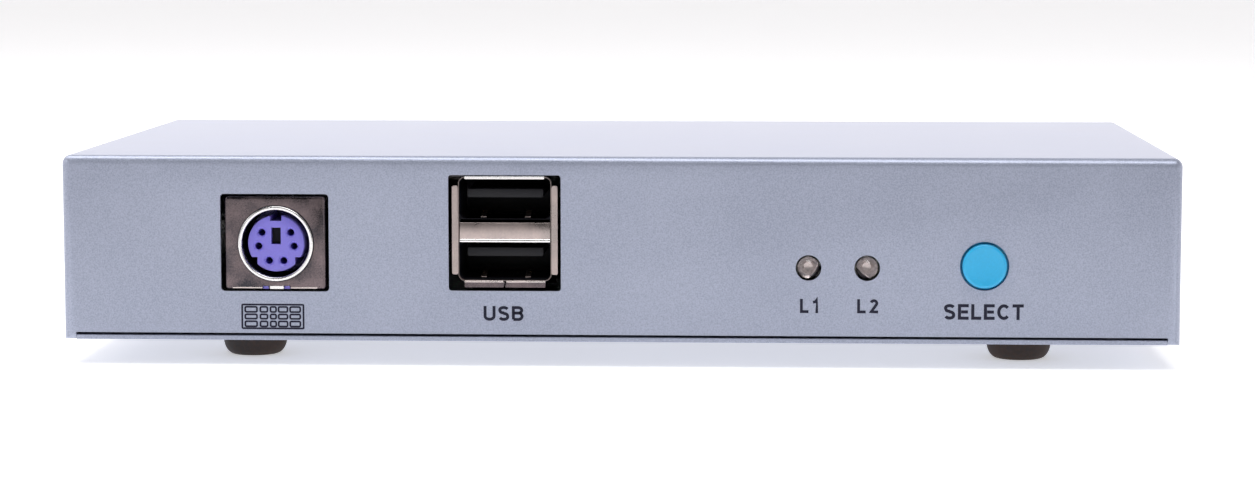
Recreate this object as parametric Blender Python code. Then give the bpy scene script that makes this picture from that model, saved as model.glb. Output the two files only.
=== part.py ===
"""A two-computer KVM switch: a folded steel case with its sockets, circuit board and select button.

The frame is in metres with +Z up. The front panel faces -Y, and +X is to the right seen from the front.
The origin is at the bottom centre of the whole object's box, on the surface that the feet stand on.
All the sizes below are in millimetres. Pieces are modelled in the case's own coordinates, where y runs back
from the front panel's outer face and z up from the case's underside, and are parented to one empty there.
"""

import math

import bmesh
import bpy
from mathutils import Matrix, Vector

MM = 0.001

# Driving dimensions of the case.
CASE_W, CASE_D, CASE_H = 153.5, 80.0, 25.5
SHEET = 0.65  # steel sheet of both halves
BEND = 0.9  # outer radius of a fold
SEAM = 0.3  # gap between the cover and the base tray
GAP = 0.3  # gap between pieces that rest on each other
FRONT_PROUD = 0.7  # how far the button and the lamps stand out of the front panel
REAR_PROUD = 6.0  # how far the video sockets stand out of the rear panel
REAR_FACE = CASE_D
REAR_INNER = CASE_D - SHEET
TRAY_HALF_W = CASE_W / 2 - SHEET - SEAM
LIP_Z = 0.9  # lower edge of the front panel, above the tray's edge
LIP_HALF_W = 75.05

# Feet.
FOOT_H, FOOT_R, FOOT_FLAT_R = 3.5, 4.5, 3.0
FOOT_INSET = 13.0  # from the case's front and rear
FRONT_FEET_XS, REAR_FEET_XS = (-52.2, 55.8), (-54.0, 54.4)  # stuck on by hand, a little off centre

# Circuit board.
BOARD_TOP, BOARD_THICK = 5.9, 1.6
BOARD_HALF_W, BOARD_FRONT, BOARD_REAR = 73.0, 1.6, 78.3
BOARD_SCREW_X, BOARD_SCREW_YS = 68.5, (10.0, 60.0)
ON_BOARD = BOARD_TOP + GAP

# Case screws, two on each side.
CASE_SCREW_Z, CASE_SCREW_YS = 12.0, (14.0, 62.0)
SCREW_CLEARANCE = 2.3
TAB_HALF_L, TAB_TOP = 6.0, 15.8

# Front panel, left to right.
KEYBOARD_X, KEYBOARD_Z = -47.1, 13.4
USB_A_X = -15.5
LAMP_XS, LAMP_Z, LAMP_R = (26.1, 34.1), 10.4, 1.5
BUTTON_X, BUTTON_Z, BUTTON_R = 50.05, 10.75, 3.02

# Openings of the front panel: x0, x1, z0, z1, and the round ones' radii.
KEYBOARD_HOLE = (-54.75, -39.75, 6.8, 20.25)
USB_A_HOLE = (-23.25, -7.8, 7.0, 22.95)
LAMP_HOLE_R, BUTTON_HOLE_R = 1.75, 3.35

# Rear panel. Names are what the socket is for, X is seen from the front.
VIDEO_SOCKETS = {"out": 53.2, "pc_1": -53.1, "pc_2": 0.2}
VIDEO_Z, VIDEO_SCREW_X = 12.7, 12.495
VIDEO_PLATE_HALF_W, VIDEO_PLATE_HALF_H = 9.95, 5.4
USB_B_SOCKETS = {"pc_1": 25.7, "pc_2": -27.5}
USB_B_BOTTOM, USB_B_HALF_W, USB_B_H = 6.6, 6.02, 10.95
USB_B_GAPS = (0.43, 0.28, 0.1, 0.35)  # to the panel: left and right seen from behind, below, above
JACKSCREW_FLATS, JACKSCREW_PROUD = 4.5, 5.2


# ---------------------------------------------------------------- outlines


def rounded(corners, radius=0.0, steps=3):
    """The outline through the corners, each rounded with the radius, or with its own from a list."""
    radii = radius if isinstance(radius, (list, tuple)) else [radius] * len(corners)
    outline = []
    for i, (corner, r) in enumerate(zip(corners, radii)):
        here = Vector(corner)
        before = (Vector(corners[i - 1]) - here).normalized()
        after = (Vector(corners[(i + 1) % len(corners)]) - here).normalized()
        if r <= 0:
            outline.append(here)
            continue
        half = before.angle(after) / 2
        centre = here + (before + after).normalized() * (r / math.sin(half))
        first = here + before * (r / math.tan(half)) - centre
        last = here + after * (r / math.tan(half)) - centre
        turn = first.angle_signed(last)
        for k in range(steps + 1):
            # angle_signed counts clockwise turns as positive
            outline.append(centre + Matrix.Rotation(-turn * k / steps, 2) @ first)
    return [tuple(point) for point in outline]


def rectangle(u0, u1, v0, v1, radius=0.0, steps=3):
    return rounded([(u0, v0), (u1, v0), (u1, v1), (u0, v1)], radius, steps)


def circle(u, v, radius, sides=24, start=0.0):
    angles = [start + 2 * math.pi * k / sides for k in range(sides)]
    return [(u + radius * math.cos(a), v + radius * math.sin(a)) for a in angles]


def d_outline(x, z, half_w, half_h, radius, steps=4):
    """A D-sub outline, wide side up, its ends sloping by ten degrees."""
    slope = half_h * math.tan(math.radians(10))
    low, high = half_w - 2 * slope, half_w
    bottom, top = z - half_h, z + half_h
    return rounded([(x - low, bottom), (x + low, bottom), (x + high, top), (x - high, top)], radius, steps)


# ---------------------------------------------------------------- meshes, in millimetres


def prism(outline, axis, low, high):
    """The outline extruded along an axis: (y, z) along X, (x, z) along Y, or (x, y) along Z."""
    index = "XYZ".index(axis)
    mesh = bmesh.new()
    ring = []
    for u, v in outline:
        point = [u, v]
        point.insert(index, low)
        ring.append(mesh.verts.new(point))
    face = mesh.faces.new(ring)
    grown = bmesh.ops.extrude_face_region(mesh, geom=[face])["geom"]
    along = Vector((0, 0, 0))
    along[index] = high - low
    bmesh.ops.translate(mesh, verts=[v for v in grown if isinstance(v, bmesh.types.BMVert)], vec=along)
    bmesh.ops.recalc_face_normals(mesh, faces=mesh.faces)
    return mesh


def block(x0, x1, y0, y1, z0, z1):
    return prism(rectangle(x0, x1, y0, y1), "Z", z0, z1)


def bevelled_block(x0, x1, y0, y1, z0, z1, radius, chosen, steps=3):
    """A block whose edges that pass the test chosen(middle, direction) are rounded."""
    mesh = block(x0, x1, y0, y1, z0, z1)
    edges = []
    for edge in mesh.edges:
        a, b = (vert.co for vert in edge.verts)
        if chosen((a + b) / 2, (b - a).normalized()):
            edges.append(edge)
    bmesh.ops.bevel(mesh, geom=edges, offset=radius, segments=steps, profile=0.5, affect="EDGES")
    return mesh


def turned(profile, axis, at, sides=24):
    """A turned solid: (radius, height) points from the axis round to the axis, or a closed ring off it."""
    mesh = bmesh.new()
    points = [mesh.verts.new((r, 0, h)) for r, h in profile]
    pairs = list(zip(points, points[1:]))
    if profile[0][0] > 0:
        pairs.append((points[-1], points[0]))
    edges = [mesh.edges.new(pair) for pair in pairs]
    full = {"axis": (0, 0, 1), "cent": (0, 0, 0), "angle": 2 * math.pi, "steps": sides}
    bmesh.ops.spin(mesh, geom=points + edges, use_merge=True, **full)
    bmesh.ops.remove_doubles(mesh, verts=mesh.verts, dist=1e-4)
    bmesh.ops.recalc_face_normals(mesh, faces=mesh.faces)
    to_axis = {
        "Z": Matrix.Identity(3),
        "Y": Matrix.Rotation(-math.pi / 2, 3, "X"),
        "X": Matrix.Rotation(math.pi / 2, 3, "Y"),
    }[axis]
    mesh.transform(Matrix.Translation(at) @ to_axis.to_4x4())
    return mesh


def moved(mesh, offset):
    mesh.transform(Matrix.Translation(offset))
    return mesh


def as_object(name, mesh):
    data = bpy.data.meshes.new(name)
    mesh.to_mesh(data)
    mesh.free()
    obj = bpy.data.objects.new(name, data)
    bpy.context.scene.collection.objects.link(obj)
    return obj


def combined(first, others, operation):
    """One mesh from the first and the others, by exact Booleans. Others may not touch each other."""
    base = as_object("base", first)
    tool_mesh = bmesh.new()
    for other in others:
        data = bpy.data.meshes.new("tool")
        other.to_mesh(data)
        tool_mesh.from_mesh(data)
        bpy.data.meshes.remove(data)
        other.free()
    tool = as_object("tool", tool_mesh)
    modifier = base.modifiers.new(operation, "BOOLEAN")
    modifier.operation, modifier.object, modifier.solver = operation, tool, "EXACT"
    graph = bpy.context.evaluated_depsgraph_get()
    result = bmesh.new()
    result.from_object(base, graph)
    for obj in (base, tool):
        data = obj.data
        bpy.data.objects.remove(obj)
        bpy.data.meshes.remove(data)
    return result


def cut(mesh, *cutters):
    return combined(mesh, cutters, "DIFFERENCE")


def joined(mesh, *others):
    for other in others:
        mesh = combined(mesh, [other], "UNION")
    return mesh


# ---------------------------------------------------------------- materials and objects


def material(name, colour, roughness, metallic=0.0):
    made = bpy.data.materials.new(name)
    made.use_nodes = True
    shader = made.node_tree.nodes["Principled BSDF"]
    shader.inputs["Base Color"].default_value = (*colour, 1.0)
    shader.inputs["Roughness"].default_value = roughness
    shader.inputs["Metallic"].default_value = metallic
    made.diffuse_color = (*colour, 1.0)
    return made


def clear_scene():
    for obj in list(bpy.data.objects):
        bpy.data.objects.remove(obj)


def finished(name, mesh, look, case, at=(0, 0, 0)):
    """The mesh as a named object in metres, its origin at the given point of the case."""
    mesh.transform(Matrix.Scale(MM, 4) @ Matrix.Translation(-Vector(at)))
    obj = as_object(name, mesh)
    obj.data.materials.append(look)
    obj.data.shade_smooth()
    obj.data.set_sharp_from_angle(angle=math.radians(30))
    obj.parent = case
    obj.location = Vector(at) * MM
    return obj


def placed_copy(source, name, at):
    obj = bpy.data.objects.new(name, source.data)
    bpy.context.scene.collection.objects.link(obj)
    obj.parent = source.parent
    obj.location = Vector(at) * MM
    return obj


def row_of_copies(name, mesh, look, case, first_at, places):
    """The same piece at each place, numbered from one. The mesh is given at the first place."""
    source = finished(f"{name}_1", mesh, look, case, first_at)
    for number, place in enumerate(places[1:], 2):
        placed_copy(source, f"{name}_{number}", place)


# ---------------------------------------------------------------- case


def screw_hole(side, y):
    """A countersink through the cover's side, widest at the outer face."""
    outer = side * CASE_W / 2
    narrow, wide = SCREW_CLEARANCE, 3.05
    profile = [(0, -3), (narrow, -3), (narrow, -0.8), (wide, -0.25), (wide, 1), (0, 1)]
    mesh = turned(profile, "X", (0, 0, 0), 20)
    if side < 0:
        mesh.transform(Matrix.Rotation(math.pi, 4, "Z"))
    return moved(mesh, (outer, y, CASE_SCREW_Z))


def top_cover(look, case):
    half = CASE_W / 2

    def folded(middle, direction):
        """Every edge of the top but the back one, and the front panel's two ends."""
        on_top = middle.z > CASE_H / 2 and abs(direction.z) < 0.5 and middle.y < CASE_D * 0.9
        return on_top or (abs(direction.z) > 0.5 and middle.y < CASE_D / 2)

    outer = bevelled_block(-half, half, 0, CASE_D, 0, CASE_H, BEND, folded)
    inner_half, inner_bend = half - SHEET, BEND - SHEET
    inner = bevelled_block(
        -inner_half, inner_half, SHEET, CASE_D + 5, -5, CASE_H - SHEET, inner_bend, folded, 1
    )
    shell = cut(outer, inner)
    through = (-1, 1.5)
    front_holes = [
        block(-LIP_HALF_W, LIP_HALF_W, -1, SHEET + 0.2, -1, LIP_Z),
        prism(rectangle(*KEYBOARD_HOLE, 0.5, 2), "Y", *through),
        prism(rectangle(*USB_A_HOLE, 0.4, 2), "Y", *through),
        prism(circle(BUTTON_X, BUTTON_Z, BUTTON_HOLE_R, 32), "Y", *through),
    ]
    front_holes += [prism(circle(x, LAMP_Z, LAMP_HOLE_R, 20), "Y", *through) for x in LAMP_XS]
    shell = cut(shell, *front_holes)
    shell = cut(shell, *[screw_hole(side, y) for side in (-1, 1) for y in CASE_SCREW_YS])
    # The sheet's lower corners are rounded at both ends of each side.
    for y, inward, radius in ((0, 1, 0.8), (CASE_D, -1, 1.2)):
        outline = [(y - inward, -1), (y + inward * radius, -1), (y + inward * radius, 0)]
        steps = [math.pi / 2 * k / 4 for k in range(1, 5)]
        outline += [
            (y + inward * radius * (1 - math.sin(a)), radius * (1 - math.cos(a))) for a in steps
        ]
        outline += [(y - inward, radius)]
        shell = cut(shell, prism(outline, "X", -half - 1, half + 1))
    return finished("top_cover", shell, look, case)


def video_plate_hole(x, clearance, low, high):
    """The rounded opening of the rear panel round a video socket's raised plate."""
    half_w, half_h = VIDEO_PLATE_HALF_W + clearance, VIDEO_PLATE_HALF_H + clearance
    outline = rectangle(x - half_w, x + half_w, VIDEO_Z - half_h, VIDEO_Z + half_h, 1.7 + clearance, 4)
    return prism(outline, "Y", low, high)


def screw_tab(side, y):
    """A tab of the tray's side, with its two upper corners rounded."""
    outline = rectangle(y - TAB_HALF_L, y + TAB_HALF_L, SHEET / 2, TAB_TOP, [0, 0, 2, 2], 3)
    inside, outside = sorted((side * TRAY_HALF_W, side * (TRAY_HALF_W - SHEET)))
    return prism(outline, "X", inside, outside)


def rear_holes():
    """Cutters for the rear panel: each video socket's plate and two jackscrews, and each USB-B socket."""
    through = (REAR_FACE - 3, REAR_FACE + 1)
    holes = [video_plate_hole(x, 0.2, *through) for x in VIDEO_SOCKETS.values()]
    for x in VIDEO_SOCKETS.values():
        for side in (-1, 1):
            holes.append(prism(circle(x + side * VIDEO_SCREW_X, VIDEO_Z, 1.75, 16), "Y", *through))
    left, right, below, above = USB_B_GAPS
    top = USB_B_BOTTOM + USB_B_H
    for x in USB_B_SOCKETS.values():
        opening = (x - USB_B_HALF_W - right, x + USB_B_HALF_W + left, USB_B_BOTTOM - below, top + above)
        holes.append(prism(rectangle(*opening, 0.3, 2), "Y", *through))
    return holes


def base_tray(look, case):
    top, front, rear_inside = CASE_H - SHEET - SEAM, 0.1, CASE_D - SHEET
    profile = [(front, 0), (CASE_D, 0), (CASE_D, top)]
    profile += [(rear_inside, top), (rear_inside, SHEET), (front, SHEET)]
    outline = rounded(profile, [0, BEND, 0, 0, BEND - SHEET, 0], 4)
    tray = prism(outline, "X", -TRAY_HALF_W, TRAY_HALF_W)
    tabs = [screw_tab(side, y) for side in (-1, 1) for y in CASE_SCREW_YS]
    tray = combined(tray, tabs, "UNION")
    tray = cut(tray, *rear_holes())
    drilled = []
    for side in (-1, 1):
        edge = side * TRAY_HALF_W
        ends = sorted((edge + side, edge - 3 * side))
        drilled += [prism(circle(y, CASE_SCREW_Z, SCREW_CLEARANCE, 16), "X", *ends) for y in CASE_SCREW_YS]
        # a notch at the front corner, where the cover's side comes down
        drilled.append(block(*sorted((side * LIP_HALF_W, edge + side)), -1, 1.4, -1, SHEET + 1))
        # and a relief at the rear panel's lower corner
        corner = [(edge - 1.1 * side, -1), (edge + side, -1), (edge + side, 1.1), (edge, 1.1)]
        drilled.append(prism(corner, "Y", CASE_D - 1.2, CASE_D + 1))
    tray = cut(tray, *drilled)
    return finished("base_tray", tray, look, case)


def feet(look, case):
    rows = ((FOOT_INSET, FRONT_FEET_XS), (CASE_D - FOOT_INSET, REAR_FEET_XS))
    places = [(xs[side], y, -GAP / 2) for side in (0, 1) for y, xs in rows]
    depth = FOOT_H - GAP / 2
    steps = [math.pi / 2 * k / 5 for k in range(6)]
    rim_h = 1.0
    profile = [(0, 0), (FOOT_R, 0)]
    dome_r, dome_h = FOOT_R - FOOT_FLAT_R, depth - rim_h
    profile += [(FOOT_FLAT_R + dome_r * math.cos(a), -rim_h - dome_h * math.sin(a)) for a in steps]
    profile += [(0, -depth)]
    row_of_copies("foot", turned(profile, "Z", places[0], 20), look, case, places[0], places)


def case_screws(look, case):
    """Countersunk M3 screws: the head lies flush with the cover's side."""
    head, edge, shank, length, flush = 2.8, 0.2, 1.35, 5.0, 0.05
    profile = [(0, 0), (head, 0), (head, -edge)]
    profile += [(shank, -edge - (head - shank)), (shank, -length), (0, -length)]
    number = 0
    for side in (-1, 1):
        mesh = turned(profile, "X", (0, 0, 0), 16)
        if side < 0:
            mesh.transform(Matrix.Rotation(math.pi, 4, "Z"))
        places = [(side * (CASE_W / 2 - flush), y, CASE_SCREW_Z) for y in CASE_SCREW_YS]
        source = finished(f"case_screw_{number + 1}", moved(mesh, places[0]), look, case, places[0])
        placed_copy(source, f"case_screw_{number + 2}", places[1])
        number += 2


# ---------------------------------------------------------------- circuit board


def main_board(look, case):
    outline = rectangle(-BOARD_HALF_W, BOARD_HALF_W, BOARD_FRONT, BOARD_REAR, 1.0, 2)
    low = BOARD_TOP - BOARD_THICK
    board = prism(outline, "Z", low, BOARD_TOP)
    holes = [
        prism(circle(x, y, 1.7, 12), "Z", low - 1, BOARD_TOP + 1)
        for x in (-BOARD_SCREW_X, BOARD_SCREW_X)
        for y in BOARD_SCREW_YS
    ]
    return finished("main_board", cut(board, *holes), look, case)


def board_fixings(metal, case):
    places = [(x, y, 0) for x in (-BOARD_SCREW_X, BOARD_SCREW_X) for y in BOARD_SCREW_YS]
    x, y, _ = places[0]
    low, high = SHEET + GAP / 2, BOARD_TOP - BOARD_THICK - GAP / 2
    bore = prism(circle(x, y, 1.65, 12), "Z", low - 1, high + 1)
    spacer = cut(prism(circle(x, y, 2.9, 6), "Z", low, high), bore)
    row_of_copies("board_standoff", spacer, metal, case, places[0], places)
    seat, head, shank, tip = BOARD_TOP + GAP / 2, 2.7, 1.35, 1.2
    profile = [(0, seat + 2.0), (1.6, seat + 1.8), (head, seat + 0.9), (head, seat)]
    profile += [(shank, seat), (shank, tip), (0, tip)]
    row_of_copies("board_screw", turned(profile, "Z", (x, y, 0), 14), metal, case, places[0], places)


def leaded_chip(name, at, body, pins_x, pins_y, pitch, looks, case):
    """A chip of body (x, y, height) with rows of legs along the sides that face X, and Y if it has four rows."""
    width, depth, height = body
    x, y = at
    low = ON_BOARD - 0.1
    chip = block(x - width / 2, x + width / 2, y - depth / 2, y + depth / 2, low + 0.1, low + height)
    legs = []
    reach, half_leg, inside = 1.0, pitch * 0.2, -0.3
    # A leg leaves the body at half height, steps down and ends flat on the board.
    under = height * 0.45
    over = under + 0.3
    knee = [(inside, under), (0.5, under), (0.7, 0), (reach, 0)]
    knee += [(reach, 0.25), (0.55, over), (inside, over)]
    for side in (-1, 1):
        for k in range(pins_x):
            along = y + (k - (pins_x - 1) / 2) * pitch
            outline = [(x + side * (width / 2 + u), low + v) for u, v in knee]
            legs.append(prism(outline, "Y", along - half_leg, along + half_leg))
        for k in range(pins_y):
            along = x + (k - (pins_y - 1) / 2) * pitch
            outline = [(y + side * (depth / 2 + u), low + v) for u, v in knee]
            legs.append(prism(outline, "X", along - half_leg, along + half_leg))
    return finished(name, combined(chip, legs, "UNION"), looks["chip"], case)


# Chips: name, place, body (x, y, height), legs on each side that faces X and Y, and their pitch.
CHIPS = [
    ("control_chip", (8, 34), (10, 10, 2.0), 8, 8, 1.0),
    ("video_switch_chip_1", (-24, 46), (7.5, 10.3, 2.35), 8, 0, 1.27),
    ("video_switch_chip_2", (28, 46), (7.5, 10.3, 2.35), 8, 0, 1.27),
    ("usb_switch_chip_1", (-30, 28), (3.9, 8.7, 1.7), 7, 0, 1.27),
    ("usb_switch_chip_2", (-8, 34), (3.9, 8.7, 1.7), 7, 0, 1.27),
    ("memory_chip", (24, 30), (3.9, 4.9, 1.7), 4, 0, 1.27),
]


def electronics(looks, case):
    for chip in CHIPS:
        leaded_chip(*chip, looks, case)
    crystal(looks["metal"], case)
    regulator(looks["chip"], case)
    can = [(0, 7.2), (2.5, 7.2), (3.1, 6.8), (3.1, 1.8), (2.9, 1.4), (3.1, 1.0), (3.1, 0), (0, 0)]
    places = [(-62.0, 42.0, ON_BOARD), (-46.0, 50.0, ON_BOARD)]
    row_of_copies("capacitor", turned(can, "Z", places[0], 16), looks["metal"], case, places[0], places)
    drum = [(0, 6.2), (1.0, 6.2), (1.0, 8.5), (5.6, 8.5), (6.0, 8.1), (6.0, 0), (0, 0)]
    finished("sounder", turned(drum, "Z", (50.0, 36.0, ON_BOARD), 20), looks["chip"], case)


def crystal(look, case):
    """A crystal's can: a long rounded body on a thin flange."""
    x, y, half_l, half_w, rim = 8.0, 48.0, 5.6, 2.3, 0.3
    body = rectangle(x - half_l, x + half_l, y - half_w, y + half_w, 2.2, 4)
    half_l, half_w = half_l + rim, half_w + rim
    flange = rectangle(x - half_l, x + half_l, y - half_w, y + half_w, 2.5, 4)
    can = joined(prism(flange, "Z", ON_BOARD, ON_BOARD + 0.5), prism(body, "Z", ON_BOARD, ON_BOARD + 3.4))
    finished("crystal", can, look, case)


def regulator(look, case):
    """A surface-mounted regulator: three legs on one side and a wide tab on the other."""
    body = block(-56.6, -53.4, 30, 36.5, ON_BOARD, ON_BOARD + 1.7)
    tab = block(-53.8, -51.7, 31.7, 34.8, ON_BOARD, ON_BOARD + 0.4)
    legs = [block(-58.4, -56.2, y, y + 0.7, ON_BOARD, ON_BOARD + 0.4) for y in (30.6, 32.9, 35.2)]
    finished("regulator", combined(body, [tab, *legs], "UNION"), look, case)


# ---------------------------------------------------------------- front panel


def keyboard_socket(looks, case):
    x, z = KEYBOARD_X, KEYBOARD_Z
    top, bottom = 19.93, 7.07
    # shield: a five-sided can, open below and behind, with a round window
    left, right, wall, well_r = x - 7.05, x + 6.9, 0.35, 5.4

    def upper_sides(middle, way):
        return middle.z > z and abs(way.y) > 0.5

    can = bevelled_block(left, right, 0.1, 12.5, bottom, top, 0.4, upper_sides, 2)
    can = cut(can, block(left + wall, right - wall, 0.5, 14, bottom - 1, top - wall))
    can = cut(can, prism(circle(x, z, well_r, 32), "Y", -1, 1))
    finished("ps2_shield", can, looks["nickel"], case)
    # housing: a block with a round well, and the island with the pin holes standing in it
    well_end = 8.5
    housing = block(left + 0.55, right - 0.55, 0.8, 12.3, ON_BOARD, top - 0.55)
    housing = cut(housing, prism(circle(x, z, well_r, 32), "Y", 0, well_end))
    island = prism(circle(x, z, 3.9, 28), "Y", 0.35, well_end + 1)
    slots = [
        block(x - 0.78, x + 0.78, 0, well_end - 1, z + 3.1, z + 5),
        block(x - 4.5, x - 2.6, 0, well_end - 1, z - 4.5, z - 1.9),
        block(x + 2.6, x + 4.5, 0, well_end - 1, z - 4.5, z - 1.9),
        block(x - 0.62, x + 0.62, 0, well_end - 2, z - 0.12, z + 2.12),
    ]
    pins = [(side * u, v) for u, v in ((2.0, 1.5), (2.45, -0.4), (1.0, -2.4)) for side in (-1, 1)]
    slots += [prism(circle(x + u, z + v, 0.45, 8), "Y", 0, well_end - 2) for u, v in pins]
    finished("ps2_housing", joined(housing, cut(island, *slots)), looks["purple"], case)
    ring = [(4.65, -0.1), (5.0, -0.25), (5.2, -0.1), (5.2, 7.8), (4.65, 7.8)]
    finished("ps2_ring", turned(ring, "Y", (x, 0, z), 32), looks["nickel"], case)


def usb_a_socket(looks, case):
    """Two USB-A openings in one can, with lips bent round its front, and an insulator with two tongues."""
    x, inner, wall = USB_A_X, 6.45, 0.3
    upper, lower = (16.85, 22.5), (8.6, 13.64)
    floor, ceiling = lower[0], upper[1]
    shell = block(x - inner - wall, x + inner + wall, 0.0, 16.6, floor - wall, ceiling + wall)
    openings = [
        prism(rectangle(x - inner, x + inner, low, high, 0.5, 2), "Y", -1, 11.7) for low, high in (lower, upper)
    ]
    back = block(x - inner, x + inner, 11.69, 18, floor, ceiling)
    shell = cut(cut(shell, *openings), back)
    lips = []
    lip_back, lip_top = 0.4, 8.45
    for side in (-1, 1):
        flap, half_lip, leg = (
            sorted((x + side * near, x + side * far)) for near, far in ((6.6, 7.2), (0.2, 5.5), (6.47, 6.73))
        )
        lips.append(block(*flap, 0.0, lip_back, 9.3, 21.5))
        lips.append(block(*half_lip, 0.0, lip_back, 7.5, lip_top))
        lips.append(block(*leg, 2.5, 15.5, ON_BOARD, lip_top))
    finished("usb_a_shell", combined(shell, lips, "UNION"), looks["nickel"], case)
    core = block(x - 6.25, x + 6.25, 12.0, 16.4, floor + 0.2, ceiling - 0.2)
    base = block(x - 5.9, x + 5.9, 16.9, 17.6, ON_BOARD, 20.0)
    bridge = block(x - 5.6, x + 5.6, 16.0, 17.2, 12.0, 19.0)
    tongues = [
        prism(rectangle(x - 5.2, x + 5.2, low, low + 1.2, 0.2, 1), "Y", 1.2, 12.5) for low in (11.7, 19.8)
    ]
    finished("usb_a_insulator", joined(core, *tongues, bridge, base), looks["black"], case)


def lamps(look, case):
    """Two 3 mm lamps lying on bent legs, each dome standing out of its hole."""
    centre, length = LAMP_R - FRONT_PROUD, 4.3
    steps = [math.pi / 2 * k / 5 for k in range(6)]
    profile = [(LAMP_R * math.sin(a), centre - LAMP_R * math.cos(a)) for a in steps]
    profile += [(LAMP_R, length), (1.9, length), (1.9, length + 1), (0, length + 1)]
    for number, x in enumerate(LAMP_XS, 1):
        at = (x, 0, LAMP_Z)
        legs = []
        start, bend, half = 5.0, 8.0, 0.25
        over, under = LAMP_Z + half, LAMP_Z - half
        outline = [(start, over), (bend + half, over), (bend + half, ON_BOARD)]
        outline += [(bend - half, ON_BOARD), (bend - half, under), (start, under)]
        for side in (-1, 1):
            legs.append(prism(outline, "X", x + side * 1.27 - half, x + side * 1.27 + half))
        finished(f"led_{number}", combined(turned(profile, "Y", at, 20), legs, "UNION"), look, case, at)


def select_button(looks, case):
    x, z = BUTTON_X, BUTTON_Z
    at = (x, 0, z)
    r = BUTTON_R
    face = -FRONT_PROUD
    profile = [(0, face), (r - 0.55, face), (r - 0.18, face + 0.14), (r, face + 0.5)]
    profile += [(r, 1.0), (3.8, 1.0), (3.8, 1.9), (2.9, 1.9), (2.9, 4.0), (0, 4.0)]
    cap = cut(turned(profile, "Y", at, 32), block(x - 1.65, x + 1.65, 2.2, 5, z - 1.65, z + 1.65))
    finished("select_button", cap, looks["button"], case, at)
    stem = block(x - 1.5, x + 1.5, 2.5, 7.0, z - 1.5, z + 1.5)
    collar = block(x - 2.2, x + 2.2, 6.4, 7.4, z - 2.2, z + 2.2)
    pin = prism(circle(x, z, 0.7, 8), "Y", 7.1, 9.5)
    finished("switch_plunger", joined(stem, collar, pin), looks["cream"], case, at)
    housing = cut(
        block(x - 4.25, x + 4.25, 5.6, 14.2, z - 4.25, z + 4.25),
        block(x - 2.4, x + 2.4, 6.2, 13.4, z - 2.4, z + 2.4),
    )
    housing = cut(housing, block(x - 1.75, x + 1.75, 5, 7, z - 1.75, z + 1.75))
    finished("switch_housing", housing, looks["black"], case, at)
    switch_spring(looks["metal"], case, at)


def switch_spring(look, case, at):
    """A compression spring behind the plunger's collar: a wire swept along a helix about Y."""
    turns, per_turn, radius, wire = 5, 10, 1.35, 0.16
    first, last = 7.75, 13.0
    curve = bpy.data.curves.new("switch_spring", "CURVE")
    curve.dimensions = "3D"
    curve.bevel_depth = wire * MM
    curve.bevel_resolution = 0
    curve.use_fill_caps = True
    spline = curve.splines.new("POLY")
    count = turns * per_turn
    spline.points.add(count)
    for k in range(count + 1):
        turn = 2 * math.pi * k / per_turn
        y = first + (last - first) * k / count
        point = Vector((radius * math.cos(turn), y - at[1], radius * math.sin(turn))) * MM
        spline.points[k].co = (*point, 1)
    obj = bpy.data.objects.new("switch_spring", curve)
    curve.materials.append(look)
    bpy.context.scene.collection.objects.link(obj)
    obj.parent = case
    obj.location = Vector(at) * MM


# ---------------------------------------------------------------- rear panel


def video_socket(name, x, plastic, looks, case):
    """An HD-15 socket: shell with flange, insulator, rear bracket. Each is set back from the panel by a gap."""
    z = VIDEO_Z
    flange_face = REAR_INNER - GAP
    flange_back = flange_face - 0.5
    ear_x = (-VIDEO_SCREW_X, VIDEO_SCREW_X)
    flange_sizes = (x - 15.4, x + 15.4, z - 6.25, z + 6.25)
    shell = prism(rectangle(*flange_sizes, 1.5, 2), "Y", flange_back, flange_face)
    shell = joined(
        shell,
        video_plate_hole(x, 0, flange_face - 0.25, REAR_FACE - 0.05),
        prism(d_outline(x, z, 8.15, 3.95, 2.0), "Y", REAR_FACE - 0.5, REAR_FACE + REAR_PROUD),
    )
    ears = [prism(circle(x + u, z, 1.7, 12), "Y", flange_back - 1, flange_face + 1) for u in ear_x]
    well = prism(d_outline(x, z, 7.6, 3.4, 1.5), "Y", flange_back - 1, REAR_FACE + REAR_PROUD + 1)
    shell = cut(shell, well, *ears)
    finished(f"video_{name}_shell", shell, looks["nickel"], case)
    nose = prism(d_outline(x, z, 7.48, 3.28, 1.4), "Y", flange_back - 1.5, REAR_FACE + REAR_PROUD - 0.45)
    body_top = z + 5.4
    body = block(x - 9.4, x + 9.4, flange_back - 8.5, flange_back - GAP, ON_BOARD + 0.2, body_top)
    contacts = []
    for row, shift in ((1, 0.2), (0, -0.95), (-1, 0.2)):
        for k in range(-2, 3):
            outline = circle(x + shift + k * 2.29, z + row * 1.98, 0.54, 8)
            contacts.append(prism(outline, "Y", REAR_FACE + REAR_PROUD - 4.5, REAR_FACE + REAR_PROUD + 1))
    finished(f"video_{name}_insulator", cut(joined(body, nose), *contacts), plastic, case)
    # bracket: a plate behind the flange, with a window for the insulator and a boss for each jackscrew
    plate_face = flange_back - GAP
    bracket = prism(rectangle(*flange_sizes, 1.0, 1), "Y", plate_face - 0.8, plate_face)
    boss_ends = (plate_face - 5, plate_face - 0.4, ON_BOARD + 0.3, z + 2.8)
    bosses = [block(x + u - 2.5, x + u + 2.5, *boss_ends) for u in ear_x]
    bracket = combined(bracket, bosses, "UNION")
    window = block(x - 9.7, x + 9.7, plate_face - 2, plate_face + 1, flange_sizes[2] - 1, body_top + 0.25)
    bores = [prism(circle(x + u, z, 1.65, 12), "Y", plate_face - 6, plate_face + 1) for u in ear_x]
    finished(f"video_{name}_bracket", cut(bracket, window, *bores), looks["nickel"], case)


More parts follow.
